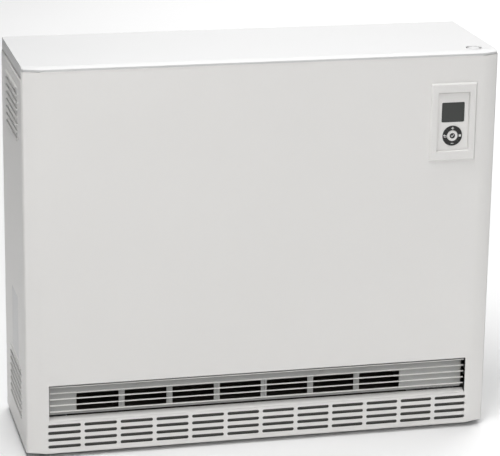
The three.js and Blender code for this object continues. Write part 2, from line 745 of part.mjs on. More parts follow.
const elementGrooves = () => Array.from({ length: brickLayers / 2 }, (_, i) =>
  hairpin(elementZ(i), elementRadius + elementClearance));

const heatingElements = () => {
  for (let i = 0; i < brickLayers / 2; i += 1) {
    place(`heating_element_${i + 1}`, hairpin(elementZ(i), elementRadius), looks.elementSteel());
  }
};

const airChannels = (z, offsets) => offsets.flatMap((offset) =>
  Array.from({ length: brickColumns * channelsPerBrick }, (_, i) => {
    const share = (i + 0.5) / (brickColumns * channelsPerBrick);
    const x = coreX[0] + share * (coreX[1] - coreX[0]);
    const y = coreY + offset;
    return block([x - channelWidth / 2, x + channelWidth / 2],
      [y - channelDepth / 2, y + channelDepth / 2], z);
  }));
const bothRows = [-channelOffsetY, channelOffsetY];

// Each layer is three bricks side by side, parted by grooves on its top and its faces.
const brickLayersOf = (grooves) => {
  for (let i = 0; i < brickLayers; i += 1) {
    const low = coreZ + i * layerPitch;
    const z = [low, low + brickHeight];
    const joints = Array.from({ length: brickColumns - 1 }, (_, k) => {
      const x = coreX[0] + (k + 1) * (brickWidth + brickJoint) - brickJoint / 2;
      const width = [x - 1, x + 1];
      return join(
        block(width, [brickFrontY - 1, brickRearY + 1], [z[1] - 2, z[1] + 1]),
        block(width, [brickFrontY - 1, brickFrontY + 2], [z[0] - 1, z[1] + 1]),
        block(width, [brickRearY - 2, brickRearY + 1], [z[0] - 1, z[1] + 1]),
      );
    });
    const layer = block(coreX, [brickFrontY, brickRearY], z);
    const channels = airChannels([z[0] - 1, z[1] + 1], bothRows);
    const groove = grooves[Math.floor(i / 2)];
    place(`brick_layer_${i + 1}`, cut(layer, ...channels, ...joints, groove),
      looks.magnetite());
  }
};

const insulationBoards = (grooves) => {
  const board = (name, x, y, z, ...tools) =>
    place(name, cut(block(x, y, z), ...tools), looks.insulation());
  const wide = insulationX;
  const depth = [frontInsulationY, rearInsulationY + rearInsulation];
  const coreHeights = [coreZ, coreTopZ];
  const floorZ = [floorInsulationZ, floorInsulationZ + floorInsulation];
  board('floor_insulation', wide, depth, floorZ,
    ...airChannels([floorZ[0] - 1, floorZ[1] + 1], bothRows));
  const plenum = block([coreX[0] + 4, coreX[1] - 4],
    [coreY - channelOffsetY - channelDepth, coreY + channelOffsetY + channelDepth],
    [topInsulationZ - 1, topInsulationZ + plenumDepth]);
  board('top_insulation', wide, depth, [topInsulationZ, topInsulationZ + topInsulation],
    plenum);
  board('front_insulation', wide, [frontInsulationY, frontInsulationY + frontInsulation],
    coreHeights);
  board('rear_insulation', wide, [rearInsulationY, rearInsulationY + rearInsulation],
    coreHeights);
  const between = [brickFrontY, brickRearY];
  board('left_insulation', [insulationX[0], coreX[0] - gap], between, coreHeights);
  board('right_insulation', [coreX[1] + gap, insulationX[1]], between, coreHeights,
    ...grooves);
};

const innerFrame = (grooves) => {
  const z = [floorInsulationZ, topInsulationZ + topInsulation];
  const flange = 15;
  const y = [flangeFrontY, flangeRearY + innerSheet];
  for (const [name, x, inward] of [
    ['left_inner_side', innerLeftX, 1], ['right_inner_side', innerRightX, -1]]) {
    const path = [
      at(x + inward * flange, y[0]), at(x - inward * innerSheet, y[0]),
      at(x - inward * innerSheet, y[1]), at(x + inward * flange, y[1]),
    ];
    const outline = folded(inward > 0 ? path.reverse() : path, innerSheet);
    const side = alongZ(outline, z);
    place(name, inward > 0 ? side : cut(side, ...grooves), looks.galvanised());
  }
  const wide = [innerLeftX - innerSheet, innerRightX + innerSheet];
  place('core_shelf', cut(
    block(wide, y, [shelfZ, shelfZ + shelfThickness]),
    ...airChannels([shelfZ - 1, shelfZ + 3], bothRows)), looks.galvanised());
  place('inner_front_cover', block(wide, [coverY, coverY + coverSheet],
    [shelfZ, z[1]]), looks.galvanised());
  place('core_cover_sheet', block(wide, y, [coverZ, coverZ + coverSheet]),
    looks.galvanised());
};

// ---------- Fan compartment ----------
const bearerLeftX = innerLeftX + bearerWidth + gap;
const bearerRightX = innerRightX - bearerWidth - gap;
const bearerZ = [trayTop + gap, shelfZ - gap];
const bearerY = [coverY + coverSheet + 20, flangeRearY - 2];
const fanAxis = { y: fanY, z: fanAxisZ };
const pinRadius = 2.5;
const flapPin = { y: coreY - 4, z: shelfZ - 14 };

const bearers = () => {
  for (const [name, x, out] of [
    ['left_bearer', bearerLeftX, -1], ['right_bearer', bearerRightX, 1]]) {
    const path = [
      at(x + out * bearerWidth, bearerZ[0]), at(x, bearerZ[0]),
      at(x, bearerZ[1]), at(x + out * bearerWidth, bearerZ[1]),
    ];
    const outline = folded(out > 0 ? path.reverse() : path, innerSheet);
    const reach = [x - 5, x + 5];
    const shaftHole = rod('x', shaftRadius + 2, reach, fanAxis, 20);
    const pinHole = rod('x', pinRadius + gap, reach, flapPin, 16);
    place(name, cut(alongY(outline, bearerY), shaftHole, pinHole), looks.galvanised());
  }
};

const ductX = [bearerLeftX + gap, bearerRightX - gap];
const fanScroll = () => {
  const centre = at(fanY, fanAxisZ);
  const base = rotorRadius + scrollClearance;
  const steps = 14;
  const start = -1.9;
  const sweep = 2.25;
  const spiral = Array.from({ length: steps + 1 }, (_, i) => {
    const angle = start + (sweep * i) / steps;
    const radius = base + (scrollGrowth * i) / steps;
    return at(centre.x + radius * Math.cos(angle), centre.y + radius * Math.sin(angle));
  });
  const throat = at(coreY + channelOffsetY + channelDepth / 2 + 4, shelfZ - 2);
  place('fan_scroll', alongX(folded([...spiral, throat].reverse(), innerSheet), ductX),
    looks.galvanised());
};

const ductWallFoot = at(fanY - rotorRadius * 0.72, fanAxisZ + rotorRadius + 2);
const ductWallTop = at(coreY + channelOffsetY - channelDepth / 2 - 6, shelfZ - 2);
const outletDuct = () => {
  const floorZ = ledgeZ - 2.5;
  const floorRear = at(coreY - 32, floorZ);
  const path = [at(backplateY + sheet + 2, floorZ), floorRear, ductWallFoot, ductWallTop];
  const along = ductWallTop.clone().sub(ductWallFoot);
  const low = ductWallFoot.clone().addScaledVector(along, 0.2);
  const high = ductWallFoot.clone().addScaledVector(along, 0.75);
  const bypassCount = 5;
  const bypassWidth = 88;
  const bypass = Array.from({ length: bypassCount }, (_, i) => {
    const x = coreCentreX + (i - (bypassCount - 1) / 2) * (bypassWidth + 16);
    return block([x - bypassWidth / 2, x + bypassWidth / 2], [low.x - 12, high.x + 12],
      [low.y, high.y]);
  });
  const sheetMetal = alongX(folded(path, sheet), ductX);
  place('outlet_duct', cut(sheetMetal, ...bypass), looks.galvanised());
};

const fan = () => {
  const x = [ductX[0] + 8, ductX[1] - 8];
  const disc = (from) => rod('x', rotorRadius, [from, from + rotorDiscThickness], fanAxis, 24);
  const discs = [x[0], (x[0] + x[1]) / 2, x[1] - rotorDiscThickness].map(disc);
  const tip = rotorRadius - 1;
  const root = rotorRadius - 8;
  const lean = 0.28;
  const thickness = 1.2;
  const blades = Array.from({ length: rotorBlades }, (_, i) => {
    const angle = (i / rotorBlades) * 2 * Math.PI;
    const inner = at(root * Math.cos(angle), root * Math.sin(angle));
    const outer = at(tip * Math.cos(angle + lean), tip * Math.sin(angle + lean));
    const outline = folded([inner, outer], thickness).map((p) => at(p.x + fanY,
      p.y + fanAxisZ));
    return alongX(outline, [x[0] + 0.5, x[1] - 0.5]);
  });
  const hubs = [[x[0], x[0] + 12], [x[1] - 12, x[1]]].map((ends) =>
    rod('x', shaftRadius + 5, ends, fanAxis, 20));
  const bore = rod('x', shaftRadius + gap, [x[0] - 1, x[1] + 1], fanAxis, 20);
  place('fan_rotor', cut(wasm.Manifold.union([...discs, ...blades, ...hubs]), bore),
    looks.blackSteel());
  const bearingX = bearerLeftX - innerSheet;
  place('fan_shaft', rod('x', shaftRadius, [bearingX - bearingLength - 2,
    bearerRightX + motorLength * 0.6], fanAxis, 20), looks.aluminium());
  const bearingBore = rod('x', shaftRadius + gap, [-casingWidth, casingWidth], fanAxis, 20);
  const bearing = rod('x', bearingRadius, [bearerLeftX - gap - bearingLength,
    bearerLeftX - gap - innerSheet], fanAxis, 28);
  place('fan_bearing', cut(bearing, bearingBore), looks.aluminium());
  const motorX = bearerRightX + innerSheet + gap;
  const blindBore = rod('x', shaftRadius + gap, [motorX - 1,
    bearerRightX + motorLength * 0.6 + gap], fanAxis, 20);
  const motor = join(
    rod('x', motorRadius, [motorX, motorX + motorLength * 0.7], fanAxis, 28),
    rod('x', motorRadius * 0.7, [motorX, motorX + motorLength], fanAxis, 28));
  place('fan_motor', cut(motor, blindBore), looks.blackSteel());
};

// The flap hangs on its pin in front of the bypass windows and swings forwards.
const flapParts = () => {
  const length = 58;
  const drop = ductWallTop.clone().sub(ductWallFoot).normalize().multiplyScalar(length);
  const pin = at(flapPin.y, flapPin.z);
  const plate = folded([pin, pin.clone().sub(drop)], sheet);
  const x = [ductX[0] + 4, ductX[1] - 4];
  const ends = [bearerLeftX - 8, bearerRightX + 12];
  const flap = join(alongX(plate, x), rod('x', pinRadius, ends, flapPin, 16));
  place('mixing_flap', flap, looks.galvanised());
  const actuatorX = ends[1] + gap;
  const actuator = join(
    rod('x', 9, [actuatorX, actuatorX + 10], flapPin, 20),
    block([actuatorX + 2, actuatorX + 8], [flapPin.y - 28, flapPin.y],
      [flapPin.z - 4, flapPin.z + 4]));
  place('flap_actuator', actuator, looks.aluminium());
};

const lintFilter = () => {
  const half = outletHalfWidth;
  const y = [frontY + sheet + 1, frontY + sheet + 3];
  const z = [bottomZ + sheet + gap + 2, ledgeZ - ledgeRadius - 3];
  const frame = block([-half, half], y, z);
  const border = 3;
  const field = block([-half + border, half - border], [y[0] - 1, y[0] + 1],
    [z[0] + border, z[1] - border]);
  place('lint_filter', cut(frame, field), looks.filterMesh());
};

// ---------- Electrical compartment ----------
const electrics = () => {
  const wallX = halfWidth - sheet;
  const x = [innerRightX + innerSheet + terminalReach + 12, wallX - 13];
  const poles = 5;
  const base = block([x[0], x[1]], [middleY, middleY + 34], [trayTop + gap, trayTop + 32]);
  const pitch = (x[1] - x[0]) / poles;
  const entries = Array.from({ length: poles }, (_, i) => {
    const middle = x[0] + (i + 0.5) * pitch;
    return rod('y', pitch * 0.28, [middleY - 1, middleY + 16],
      { x: middle, z: trayTop + 18 }, 12);
  });
  place('terminal_block', cut(base, ...entries), looks.whitePlastic());
  const relayBoardY = rearY - relayBoardSpace;
  const relayBoardZ = [shelfZ + relayBoardRise, shelfZ + relayBoardRise + relayBoardHeight];
  const relay = { left: 6, width: 20, depth: 18, height: 30, pitch: 45, lowest: 20 };
  const relays = [0, 1].map((i) => {
    const low = relayBoardZ[0] + relay.lowest + i * relay.pitch;
    const left = x[0] + relay.left;
    return block([left, left + relay.width],
      [relayBoardY - relay.depth, relayBoardY + boardThickness / 2], [low, low + relay.height]);
  });
  const carrier = block(x, [relayBoardY, relayBoardY + boardThickness], relayBoardZ);
  place('relay_board', join(carrier, ...relays), looks.circuitBoard());
  const cutOut = { y: coreY + elementSpan + thermostatSpace, z: shelfZ + thermostatRise };
  const start = innerRightX + innerSheet + gap;
  place('safety_thermostat', join(
    rod('x', 12, [start, start + 14], cutOut, 24),
    rod('x', 3, [start + 13, start + 18], cutOut, 12)), looks.blackSteel());
  const lip = 2;
  const rim = cableHole.radius + 3;
  const inner = cableHole.radius - gap;
  const grommet = cut(join(
    rod('y', rim, [rearY + gap, rearY + gap + lip], cableHole, 24),
    rod('y', inner, [rearY - sheet - 3, rearY + gap + lip], cableHole, 24),
  ), rod('y', inner - 3, [rearY - 12, rearY + 12], cableHole, 16));
  place('cable_grommet', grommet, looks.rubber());
};

footRails();
baseTray();
rearPanel();
wallRail();
sidePanel('left_side_panel', -1);
sidePanel('right_side_panel', 1);
frontPanel();
lid();
lidPlug();
outletGrille();
grilleBackplate();
latches();
controlBezel();
controlFaceplate();
displayParts();
keys();
controlInside();
const grooves = elementGrooves();
brickLayersOf(grooves);
insulationBoards(grooves);
innerFrame(grooves);
heatingElements();
bearers();
fanScroll();
outletDuct();
fan();
flapParts();
lintFilter();
electrics();

export default group;
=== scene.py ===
import json
import math

import bmesh
import bpy
from mathutils import Matrix, Vector


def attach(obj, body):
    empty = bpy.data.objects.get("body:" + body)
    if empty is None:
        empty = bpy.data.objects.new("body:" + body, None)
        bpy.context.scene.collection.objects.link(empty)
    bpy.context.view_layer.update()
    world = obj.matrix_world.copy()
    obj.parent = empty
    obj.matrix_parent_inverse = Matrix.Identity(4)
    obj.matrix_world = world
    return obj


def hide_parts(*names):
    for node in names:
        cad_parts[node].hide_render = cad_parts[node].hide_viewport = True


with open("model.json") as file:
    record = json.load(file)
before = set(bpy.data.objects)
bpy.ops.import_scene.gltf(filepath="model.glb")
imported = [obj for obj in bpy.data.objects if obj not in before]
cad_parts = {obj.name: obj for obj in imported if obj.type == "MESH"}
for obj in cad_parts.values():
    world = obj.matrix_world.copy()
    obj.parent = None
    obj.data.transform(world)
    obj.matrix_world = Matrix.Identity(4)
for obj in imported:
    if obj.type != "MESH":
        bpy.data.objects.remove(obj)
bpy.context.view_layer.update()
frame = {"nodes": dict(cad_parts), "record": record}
print("frame loaded")

scene = bpy.context.scene
nodes = frame["nodes"]
mm = 0.001


# camera, solved from the casing's corners and edges; its places are in metres
cameraSettings = {
    "azimuth": 13.61,  # degrees, seen from the left of straight ahead
    "elevation": 16.81,
    "roll": 0.857,
    "distance": 3.8194,
    "aim": (0.0061, -0.0015, 0.3358),
    "focalPixels": 2283.5,
    "imageWidth": 500,
    "sensorWidth": 36.0,
    "farthest": 50.0,
}


def makeCamera(s):
    azimuth = math.radians(s["azimuth"])
    elevation = math.radians(s["elevation"])
    forward = Vector((math.sin(azimuth) * math.cos(elevation),
                      math.cos(azimuth) * math.cos(elevation), -math.sin(elevation)))
    right = forward.cross(Vector((0, 0, 1))).normalized()
    up = right.cross(forward)
    roll = math.radians(s["roll"])
    side = right * math.cos(roll) + up * math.sin(roll)
    top = up * math.cos(roll) - right * math.sin(roll)
    data = bpy.data.cameras.new("camera")
    data.sensor_fit = "HORIZONTAL"
    data.sensor_width = s["sensorWidth"]
    data.lens = s["focalPixels"] * data.sensor_width / s["imageWidth"]
    data.clip_end = s["farthest"]
    camera = bpy.data.objects.new("camera", data)
    scene.collection.objects.link(camera)
    place = Matrix((side, top, -forward)).transposed().to_4x4()
    place.translation = Vector(s["aim"]) - forward * s["distance"]
    camera.matrix_world = place
    scene.camera = camera


makeCamera(cameraSettings)
print("camera placed")


# lights, as name: (place, aim, width, height, power), in metres and watts
lightSettings = {
    "overhead": ((-0.7, -0.95, 3.6), (-0.5, -0.3, 0), 1.1, 2.6, 94),
    "front": ((0.2, -4.4, 2.6), (0, -0.7, 0.1), 2.4, 1.8, 53),
    "apron": ((-0.3, -2.0, 2.2), (-0.3, -1.5, 0), 3.2, 1.0, 8),
    "behind": ((2.0, 3.3, 3.2), (1.3, 1.9, 0), 4.2, 3.0, 160),
}
worldSettings = {"colour": (1.0, 1.0, 1.0, 1), "strength": 0.05}


def makeLights(settings):
    for name, (place, aim, width, height, power) in settings.items():
        data = bpy.data.lights.new(name, "AREA")
        data.shape = "RECTANGLE"
        data.size = width
        data.size_y = height
        data.energy = power
        lamp = bpy.data.objects.new(name, data)
        scene.collection.objects.link(lamp)
        lamp.location = place
        way = Vector(aim) - Vector(place)
        lamp.rotation_euler = way.to_track_quat("-Z", "Y").to_euler()


def makeWorld(s):
    world = bpy.data.worlds.new("studio")
    world.use_nodes = True
    background = world.node_tree.nodes["Background"]
    background.inputs["Color"].default_value = s["colour"]
    background.inputs["Strength"].default_value = s["strength"]
    scene.world = world


makeLights(lightSettings)
makeWorld(worldSettings)
scene.view_settings.view_transform = "Standard"  # keeps the whites of a plain studio picture
print("lights placed")


def newMaterial(name):
    material = bpy.data.materials.new(name)
    material.use_nodes = True
    return material, material.node_tree, material.node_tree.nodes["Principled BSDF"]


def addNode(tree, kind, **values):  # values by the names of the node's sockets
    node = tree.nodes.new(kind)
    for socket, value in values.items():
        node.inputs[socket].default_value = value
    return node


def noise(tree, scale, detail, stretch=(1, 1, 1)):
    coords = tree.nodes.new("ShaderNodeTexCoord")
    mapping = tree.nodes.new("ShaderNodeMapping")
    mapping.inputs["Scale"].default_value = stretch
    tree.links.new(coords.outputs["Object"], mapping.inputs["Vector"])
    texture = addNode(tree, "ShaderNodeTexNoise", Scale=scale, Detail=detail)
    tree.links.new(mapping.outputs["Vector"], texture.inputs["Vector"])
    return texture.outputs["Fac"]


def colourRange(tree, factor, low, high, start=0.3, end=0.7):
    ramp = tree.nodes.new("ShaderNodeValToRGB")
    ramp.color_ramp.elements[0].position = start
    ramp.color_ramp.elements[0].color = (*low, 1)
    ramp.color_ramp.elements[1].position = end
    ramp.color_ramp.elements[1].color = (*high, 1)
    tree.links.new(factor, ramp.inputs["Fac"])
    return ramp.outputs["Color"]


def valueRange(tree, factor, low, high):
    node = addNode(tree, "ShaderNodeMapRange")
    node.inputs["To Min"].default_value = low
    node.inputs["To Max"].default_value = high
    tree.links.new(factor, node.inputs["Value"])
    return node.outputs["Result"]


def bump(tree, shader, height, strength, distance):
    node = addNode(tree, "ShaderNodeBump", Strength=strength, Distance=distance)
    tree.links.new(height, node.inputs["Height"])
    tree.links.new(node.outputs["Normal"], shader.inputs["Normal"])


def shade(colour, factor):
    return tuple(channel * factor for channel in colour)


def powderCoat(name, colour, roughness=0.42, peel=0.25):
    material, tree, shader = newMaterial(name)
    cloudy = noise(tree, 2.2, 3)
    tree.links.new(colourRange(tree, cloudy, shade(colour, 0.985), colour),
                   shader.inputs["Base Color"])
    orangePeel = noise(tree, 420, 2)
    tree.links.new(valueRange(tree, orangePeel, roughness - 0.05, roughness + 0.05),
                   shader.inputs["Roughness"])
    bump(tree, shader, orangePeel, peel, 0.00012)
    shader.inputs["Specular IOR Level"].default_value = 0.45
    return material


def galvanised(name, colour=(0.56, 0.57, 0.58)):
    material, tree, shader = newMaterial(name)
    coords = tree.nodes.new("ShaderNodeTexCoord")
    spangle = addNode(tree, "ShaderNodeTexVoronoi", Scale=70.0, Randomness=1.0)
    tree.links.new(coords.outputs["Object"], spangle.inputs["Vector"])
    split = tree.nodes.new("ShaderNodeSeparateColor")
    tree.links.new(spangle.outputs["Color"], split.inputs["Color"])
    facet = split.outputs["Red"]
    tree.links.new(colourRange(tree, facet, shade(colour, 0.86), colour, 0.1, 0.9),
                   shader.inputs["Base Color"])
    tree.links.new(valueRange(tree, facet, 0.3, 0.48), shader.inputs["Roughness"])
    shader.inputs["Metallic"].default_value = 0.85
    return material


def plainMetal(name, colour, roughness, stretch=(1, 40, 40)):
    material, tree, shader = newMaterial(name)
    grain = noise(tree, 30, 4, stretch)
    tree.links.new(colourRange(tree, grain, shade(colour, 0.9), colour),
                   shader.inputs["Base Color"])
    tree.links.new(valueRange(tree, grain, roughness - 0.06, roughness + 0.08),
                   shader.inputs["Roughness"])
    shader.inputs["Metallic"].default_value = 0.9
    return material


def moulded(name, colour, roughness=0.45, texture=0.3, scale=900):
    material, tree, shader = newMaterial(name)
    grain = noise(tree, scale, 2)
    tree.links.new(colourRange(tree, grain, shade(colour, 0.97), colour),
                   shader.inputs["Base Color"])
    tree.links.new(valueRange(tree, grain, roughness - 0.05, roughness + 0.05),
                   shader.inputs["Roughness"])
    bump(tree, shader, grain, texture, 0.00008)
    return material


def mineral(name, low, high, scale=60, roughness=0.92, depth=0.0006):
    material, tree, shader = newMaterial(name)
    grit = noise(tree, scale, 8)
    tree.links.new(colourRange(tree, grit, low, high), shader.inputs["Base Color"])
    shader.inputs["Roughness"].default_value = roughness
    bump(tree, shader, grit, 0.7, depth)
    return material


def glossyPane(name, colour):
    material, tree, shader = newMaterial(name)
    haze = noise(tree, 35, 2)
    tree.links.new(colourRange(tree, haze, shade(colour, 0.94), colour),
                   shader.inputs["Base Color"])
    tree.links.new(valueRange(tree, haze, 0.12, 0.18), shader.inputs["Roughness"])
    shader.inputs["Coat Weight"].default_value = 0.3
    shader.inputs["Coat Roughness"].default_value = 0.08
    return material


def wovenFilter(name, colour):
    material, tree, shader = newMaterial(name)
    coords = tree.nodes.new("ShaderNodeTexCoord")
    weave = tree.nodes.new("ShaderNodeMath")
    weave.operation = "MULTIPLY"
    for direction, threads in zip(("X", "Z"), weave.inputs):
        wave = addNode(tree, "ShaderNodeTexWave", Scale=260.0)
        wave.bands_direction = direction
        tree.links.new(coords.outputs["Object"], wave.inputs["Vector"])
        tree.links.new(wave.outputs["Fac"], threads)
    height = weave.outputs[0]
    tree.links.new(colourRange(tree, height, shade(colour, 0.45), colour, 0.0, 0.6),
                   shader.inputs["Base Color"])
    shader.inputs["Roughness"].default_value = 0.85
    bump(tree, shader, height, 0.6, 0.0003)
    return material


# finishes, as name: (maker, colour, roughness and so on)
finishSettings = {
    "white_paint": (powderCoat, (0.80, 0.789, 0.772)),
    # lid_paint: the casing's white darkened to grey, painted shade that holds back the strong
    # light on the lid
    "lid_paint": (powderCoat, (0.64, 0.64, 0.64), 0.45),
    "galvanised_steel": (galvanised,),
    "grille_paint": (powderCoat, (0.80, 0.795, 0.77), 0.36),
    "grey_paint": (powderCoat, (0.44, 0.44, 0.43), 0.5),
    "white_plastic": (moulded, (0.80, 0.789, 0.772)),
    "dark_plastic": (moulded, (0.018, 0.018, 0.017), 0.4),
    "display_glass": (glossyPane, (0.026, 0.028, 0.026)),
    "circuit_board": (moulded, (0.03, 0.16, 0.07), 0.35, 0.2, 300),
    "insulation": (mineral, (0.52, 0.47, 0.38), (0.66, 0.61, 0.52)),
    "magnetite_brick": (mineral, (0.045, 0.034, 0.030), (0.11, 0.085, 0.07)),
    "element_steel": (plainMetal, (0.30, 0.25, 0.21), 0.42),
    "black_steel": (powderCoat, (0.02, 0.02, 0.02), 0.5),
    "aluminium": (plainMetal, (0.72, 0.73, 0.74), 0.32),
    "rubber": (moulded, (0.02, 0.02, 0.02), 0.8, 0.4, 500),
    "display_field": (glossyPane, (0.030, 0.033, 0.030)),
    # dark brownish steel, painted shade for the inside of the outlet behind the windows
    "browned_steel": (plainMetal, (0.12, 0.105, 0.09), 0.6),
    "key_print": (moulded, (0.75, 0.75, 0.73), 0.5, 0.1, 400),
    "plate_foil": (powderCoat, (0.60, 0.60, 0.60), 0.35, 0.05),
    "filter_mesh": (wovenFilter, (0.16, 0.16, 0.15)),
}
finish = {name: make(name, *values) for name, (make, *values) in finishSettings.items()}
print("materials made")

nodeSlots = {entry["node"]: entry["material_slot"] for entry in frame["record"]["subparts"]}
for nodeName, node in nodes.items():
    node.data.materials.clear()
    node.data.materials.append(finish[nodeSlots[nodeName]])
for nodeName in ("mixing_flap", "outlet_duct"):  # dark brownish steel, painted shade for the inside of the outlet seen through its windows
    nodes[nodeName].data.materials[0] = finish["browned_steel"]
print("frame dressed")


# shaping that the pieces share: lengths are in millimetres unless a note says metres
weld = 0.000002  # metres, within which two points become one
poleWeld = 0.000005  # metres, the same at the poles of a turned piece
near = 0.02  # how far off a plane an edge still counts as on it
slack = 0.1  # a wider tolerance, to pick what lies above or below a height


def millimetres(*values):
    return Vector([value * mm for value in values])


def rectangleLoop(form, centre, width, height, radius=0.0, segments=4):
    made = bmesh.ops.create_grid(form, x_segments=1, y_segments=1, size=0.5)
    bmesh.ops.scale(form, verts=made["verts"], vec=(width * mm, height * mm, 1))
    bmesh.ops.translate(form, verts=made["verts"], vec=millimetres(*centre, 0))
    if radius:
        bmesh.ops.bevel(form, geom=made["verts"], offset=radius * mm, offset_type="OFFSET",
                        segments=segments, profile=0.5, affect="VERTICES", material=-1)


def slotLoop(form, centre, length, height, segments=16):  # ends rounded
    halfStep = Matrix.Rotation(math.pi / segments, 3, "Z")  # no point on the middle line
    made = bmesh.ops.create_circle(form, cap_ends=False, radius=height / 2 * mm,
                                   segments=segments)
    bmesh.ops.rotate(form, verts=made["verts"], matrix=halfStep)
    reach = (length - height) / 2
    for vert in made["verts"]:
        vert.co.x += math.copysign(reach * mm, vert.co.x)
    bmesh.ops.translate(form, verts=made["verts"], vec=millimetres(*centre, 0))


def circleLoop(form, centre, radius, segments=32):
    made = bmesh.ops.create_circle(form, cap_ends=False, radius=radius * mm, segments=segments)
    bmesh.ops.translate(form, verts=made["verts"], vec=millimetres(*centre, 0))


def fillSheet(form):  # the loops drawn so far become one flat sheet with holes
    bmesh.ops.delete(form, geom=form.faces[:], context="FACES_ONLY")
    bmesh.ops.triangle_fill(form, edges=form.edges[:], use_beauty=True, normal=(0, 0, 1))
    bmesh.ops.dissolve_limit(form, angle_limit=0.01, verts=[], edges=form.edges[:])


def standUp(form, y):  # from the floor plane to a plane that faces the front
    bmesh.ops.rotate(form, verts=form.verts, matrix=Matrix.Rotation(math.pi / 2, 3, "X"))
    bmesh.ops.translate(form, verts=form.verts, vec=millimetres(0, y, 0))


def standSideways(form, x):  # from the floor plane to a plane that faces the side
    standUp(form, 0)
    bmesh.ops.rotate(form, verts=form.verts, matrix=Matrix.Rotation(math.pi / 2, 3, "Z"))
    bmesh.ops.translate(form, verts=form.verts, vec=millimetres(x, 0, 0))


def turnTowards(form, way):  # turns the faces over where the largest looks the other way
    form.normal_update()
    largest = max(form.faces, key=lambda face: face.calc_area())
    if largest.normal.dot(Vector(way)) < 0:
        bmesh.ops.reverse_faces(form, faces=form.faces[:])


def extrudeOn(form, region):  # carries a flat region on, and leaves only its walls behind
    made = bmesh.ops.extrude_face_region(form, geom=region)["geom"]
    bmesh.ops.delete(form, geom=region, context="FACES_ONLY")
    return [item for item in made if isinstance(item, bmesh.types.BMFace)]


def turnProfile(form, points, centre, axis):  # a profile turned full circle, as on a lathe
    verts = [form.verts.new(point) for point in points]
    edges = [form.edges.new(pair) for pair in zip(verts, verts[1:])]
    bmesh.ops.spin(form, geom=verts + edges, cent=centre, axis=axis, steps=48,
                   angle=2 * math.pi, use_merge=True)
    bmesh.ops.remove_doubles(form, verts=form.verts, dist=poleWeld)
    bmesh.ops.recalc_face_normals(form, faces=form.faces[:])


def bendPath(before, corner, after, radius, steps=5):  # points of a bent corner
    corner = Vector(corner)
    back = (Vector(before) - corner).normalized()
    onward = (Vector(after) - corner).normalized()
    half = back.angle(onward) / 2
    centre = corner + (back + onward).normalized() * radius / math.sin(half)
    start = corner + back * radius / math.tan(half) - centre
    end = corner + onward * radius / math.tan(half) - centre
    return [centre + start.slerp(end, step / steps) for step in range(steps + 1)]


def sweepEdges(form, edges, path, axes):  # drags edges along a flat path, in two axes
    first, second = axes
    here = path[0]
    for point in path[1:]:
        made = bmesh.ops.extrude_edge_only(form, edges=edges)["geom"]
        verts = [item for item in made if isinstance(item, bmesh.types.BMVert)]
        edges = [item for item in made if isinstance(item, bmesh.types.BMEdge)
                 and item.is_boundary and all(vert in verts for vert in item.verts)]
        move = Vector((0, 0, 0))
        move[first] = (point[0] - here[0]) * mm
        move[second] = (point[1] - here[1]) * mm
        bmesh.ops.translate(form, verts=verts, vec=move)
        here = point


def onPlane(edges, axis, place):  # those of the edges that lie on one plane
    return [edge for edge in edges
            if all(abs(vert.co[axis] - place * mm) < near * mm for vert in edge.verts)]


def edgesAt(form, axis, place):  # boundary edges lying on one plane
    return onPlane([edge for edge in form.edges if edge.is_boundary], axis, place)


def addPiece(form, name, slot, body="root", replaced=(), wall=0.0, bevel=0.0, sharp=25,
             material=None):
    bmesh.ops.remove_doubles(form, verts=form.verts, dist=weld)
    mesh = bpy.data.meshes.new(name)
    form.to_mesh(mesh)
    form.free()
    mesh.materials.append(material or finish[slot])
    mesh.shade_smooth()
    mesh.set_sharp_from_angle(angle=math.radians(sharp))
    piece = bpy.data.objects.new(name, mesh)
    scene.collection.objects.link(piece)
    if wall:
        solidify = piece.modifiers.new("wall", "SOLIDIFY")
        solidify.thickness = wall * mm
        solidify.offset = -1
        solidify.use_even_offset = True
    if bevel:
        edges = piece.modifiers.new("edges", "BEVEL")
        edges.width = bevel * mm
        edges.segments = 2
        edges.limit_method = "ANGLE"
        edges.angle_limit = math.radians(35)
        edges.harden_normals = False
    weighted = piece.modifiers.new("normals", "WEIGHTED_NORMAL")
    weighted.keep_sharp = True
    if replaced:
        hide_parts(*replaced)
    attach(piece, body)


# front panel, with the outlet opening, the ledge below it and the inlet slots
frontSettings = {
    "frontY": -123.0,
    "sheet": 1.0,
    "flatHalf": 361.5,
    "halfWidth": 390.0,
    "cornerY": -115.0,
    "returnY": -110.7,
    "cornerRadius": 3.0,
    "stripGap": 0.5,  # beyond flatHalf by more than this lie the slanted ends
    "bottom": 8.0,
    "top": 643.7,
    "flange": 10.0,
    "edgeRadius": 0.5,
    "outletHalf": 353.5,
    "outletTop": 124.5,
    "ledge": 66.4,
    "ledgeRadius": 4.0,
    "ledgeDepth": 12.0,
    "ledgeRise": 0.8,
    "slotColumns": 12,
    "slotRows": 4,
    "slotLength": 54.0,
    "slotHeight": 5.6,
    "slotHalfSpan": 355.6,
    "firstSlotZ": 19.2,
    "slotPitchZ": 11.87,
    "controlMiddle": (314.0, 535.7),
    "controlOpening": (57.1, 100.6),
}


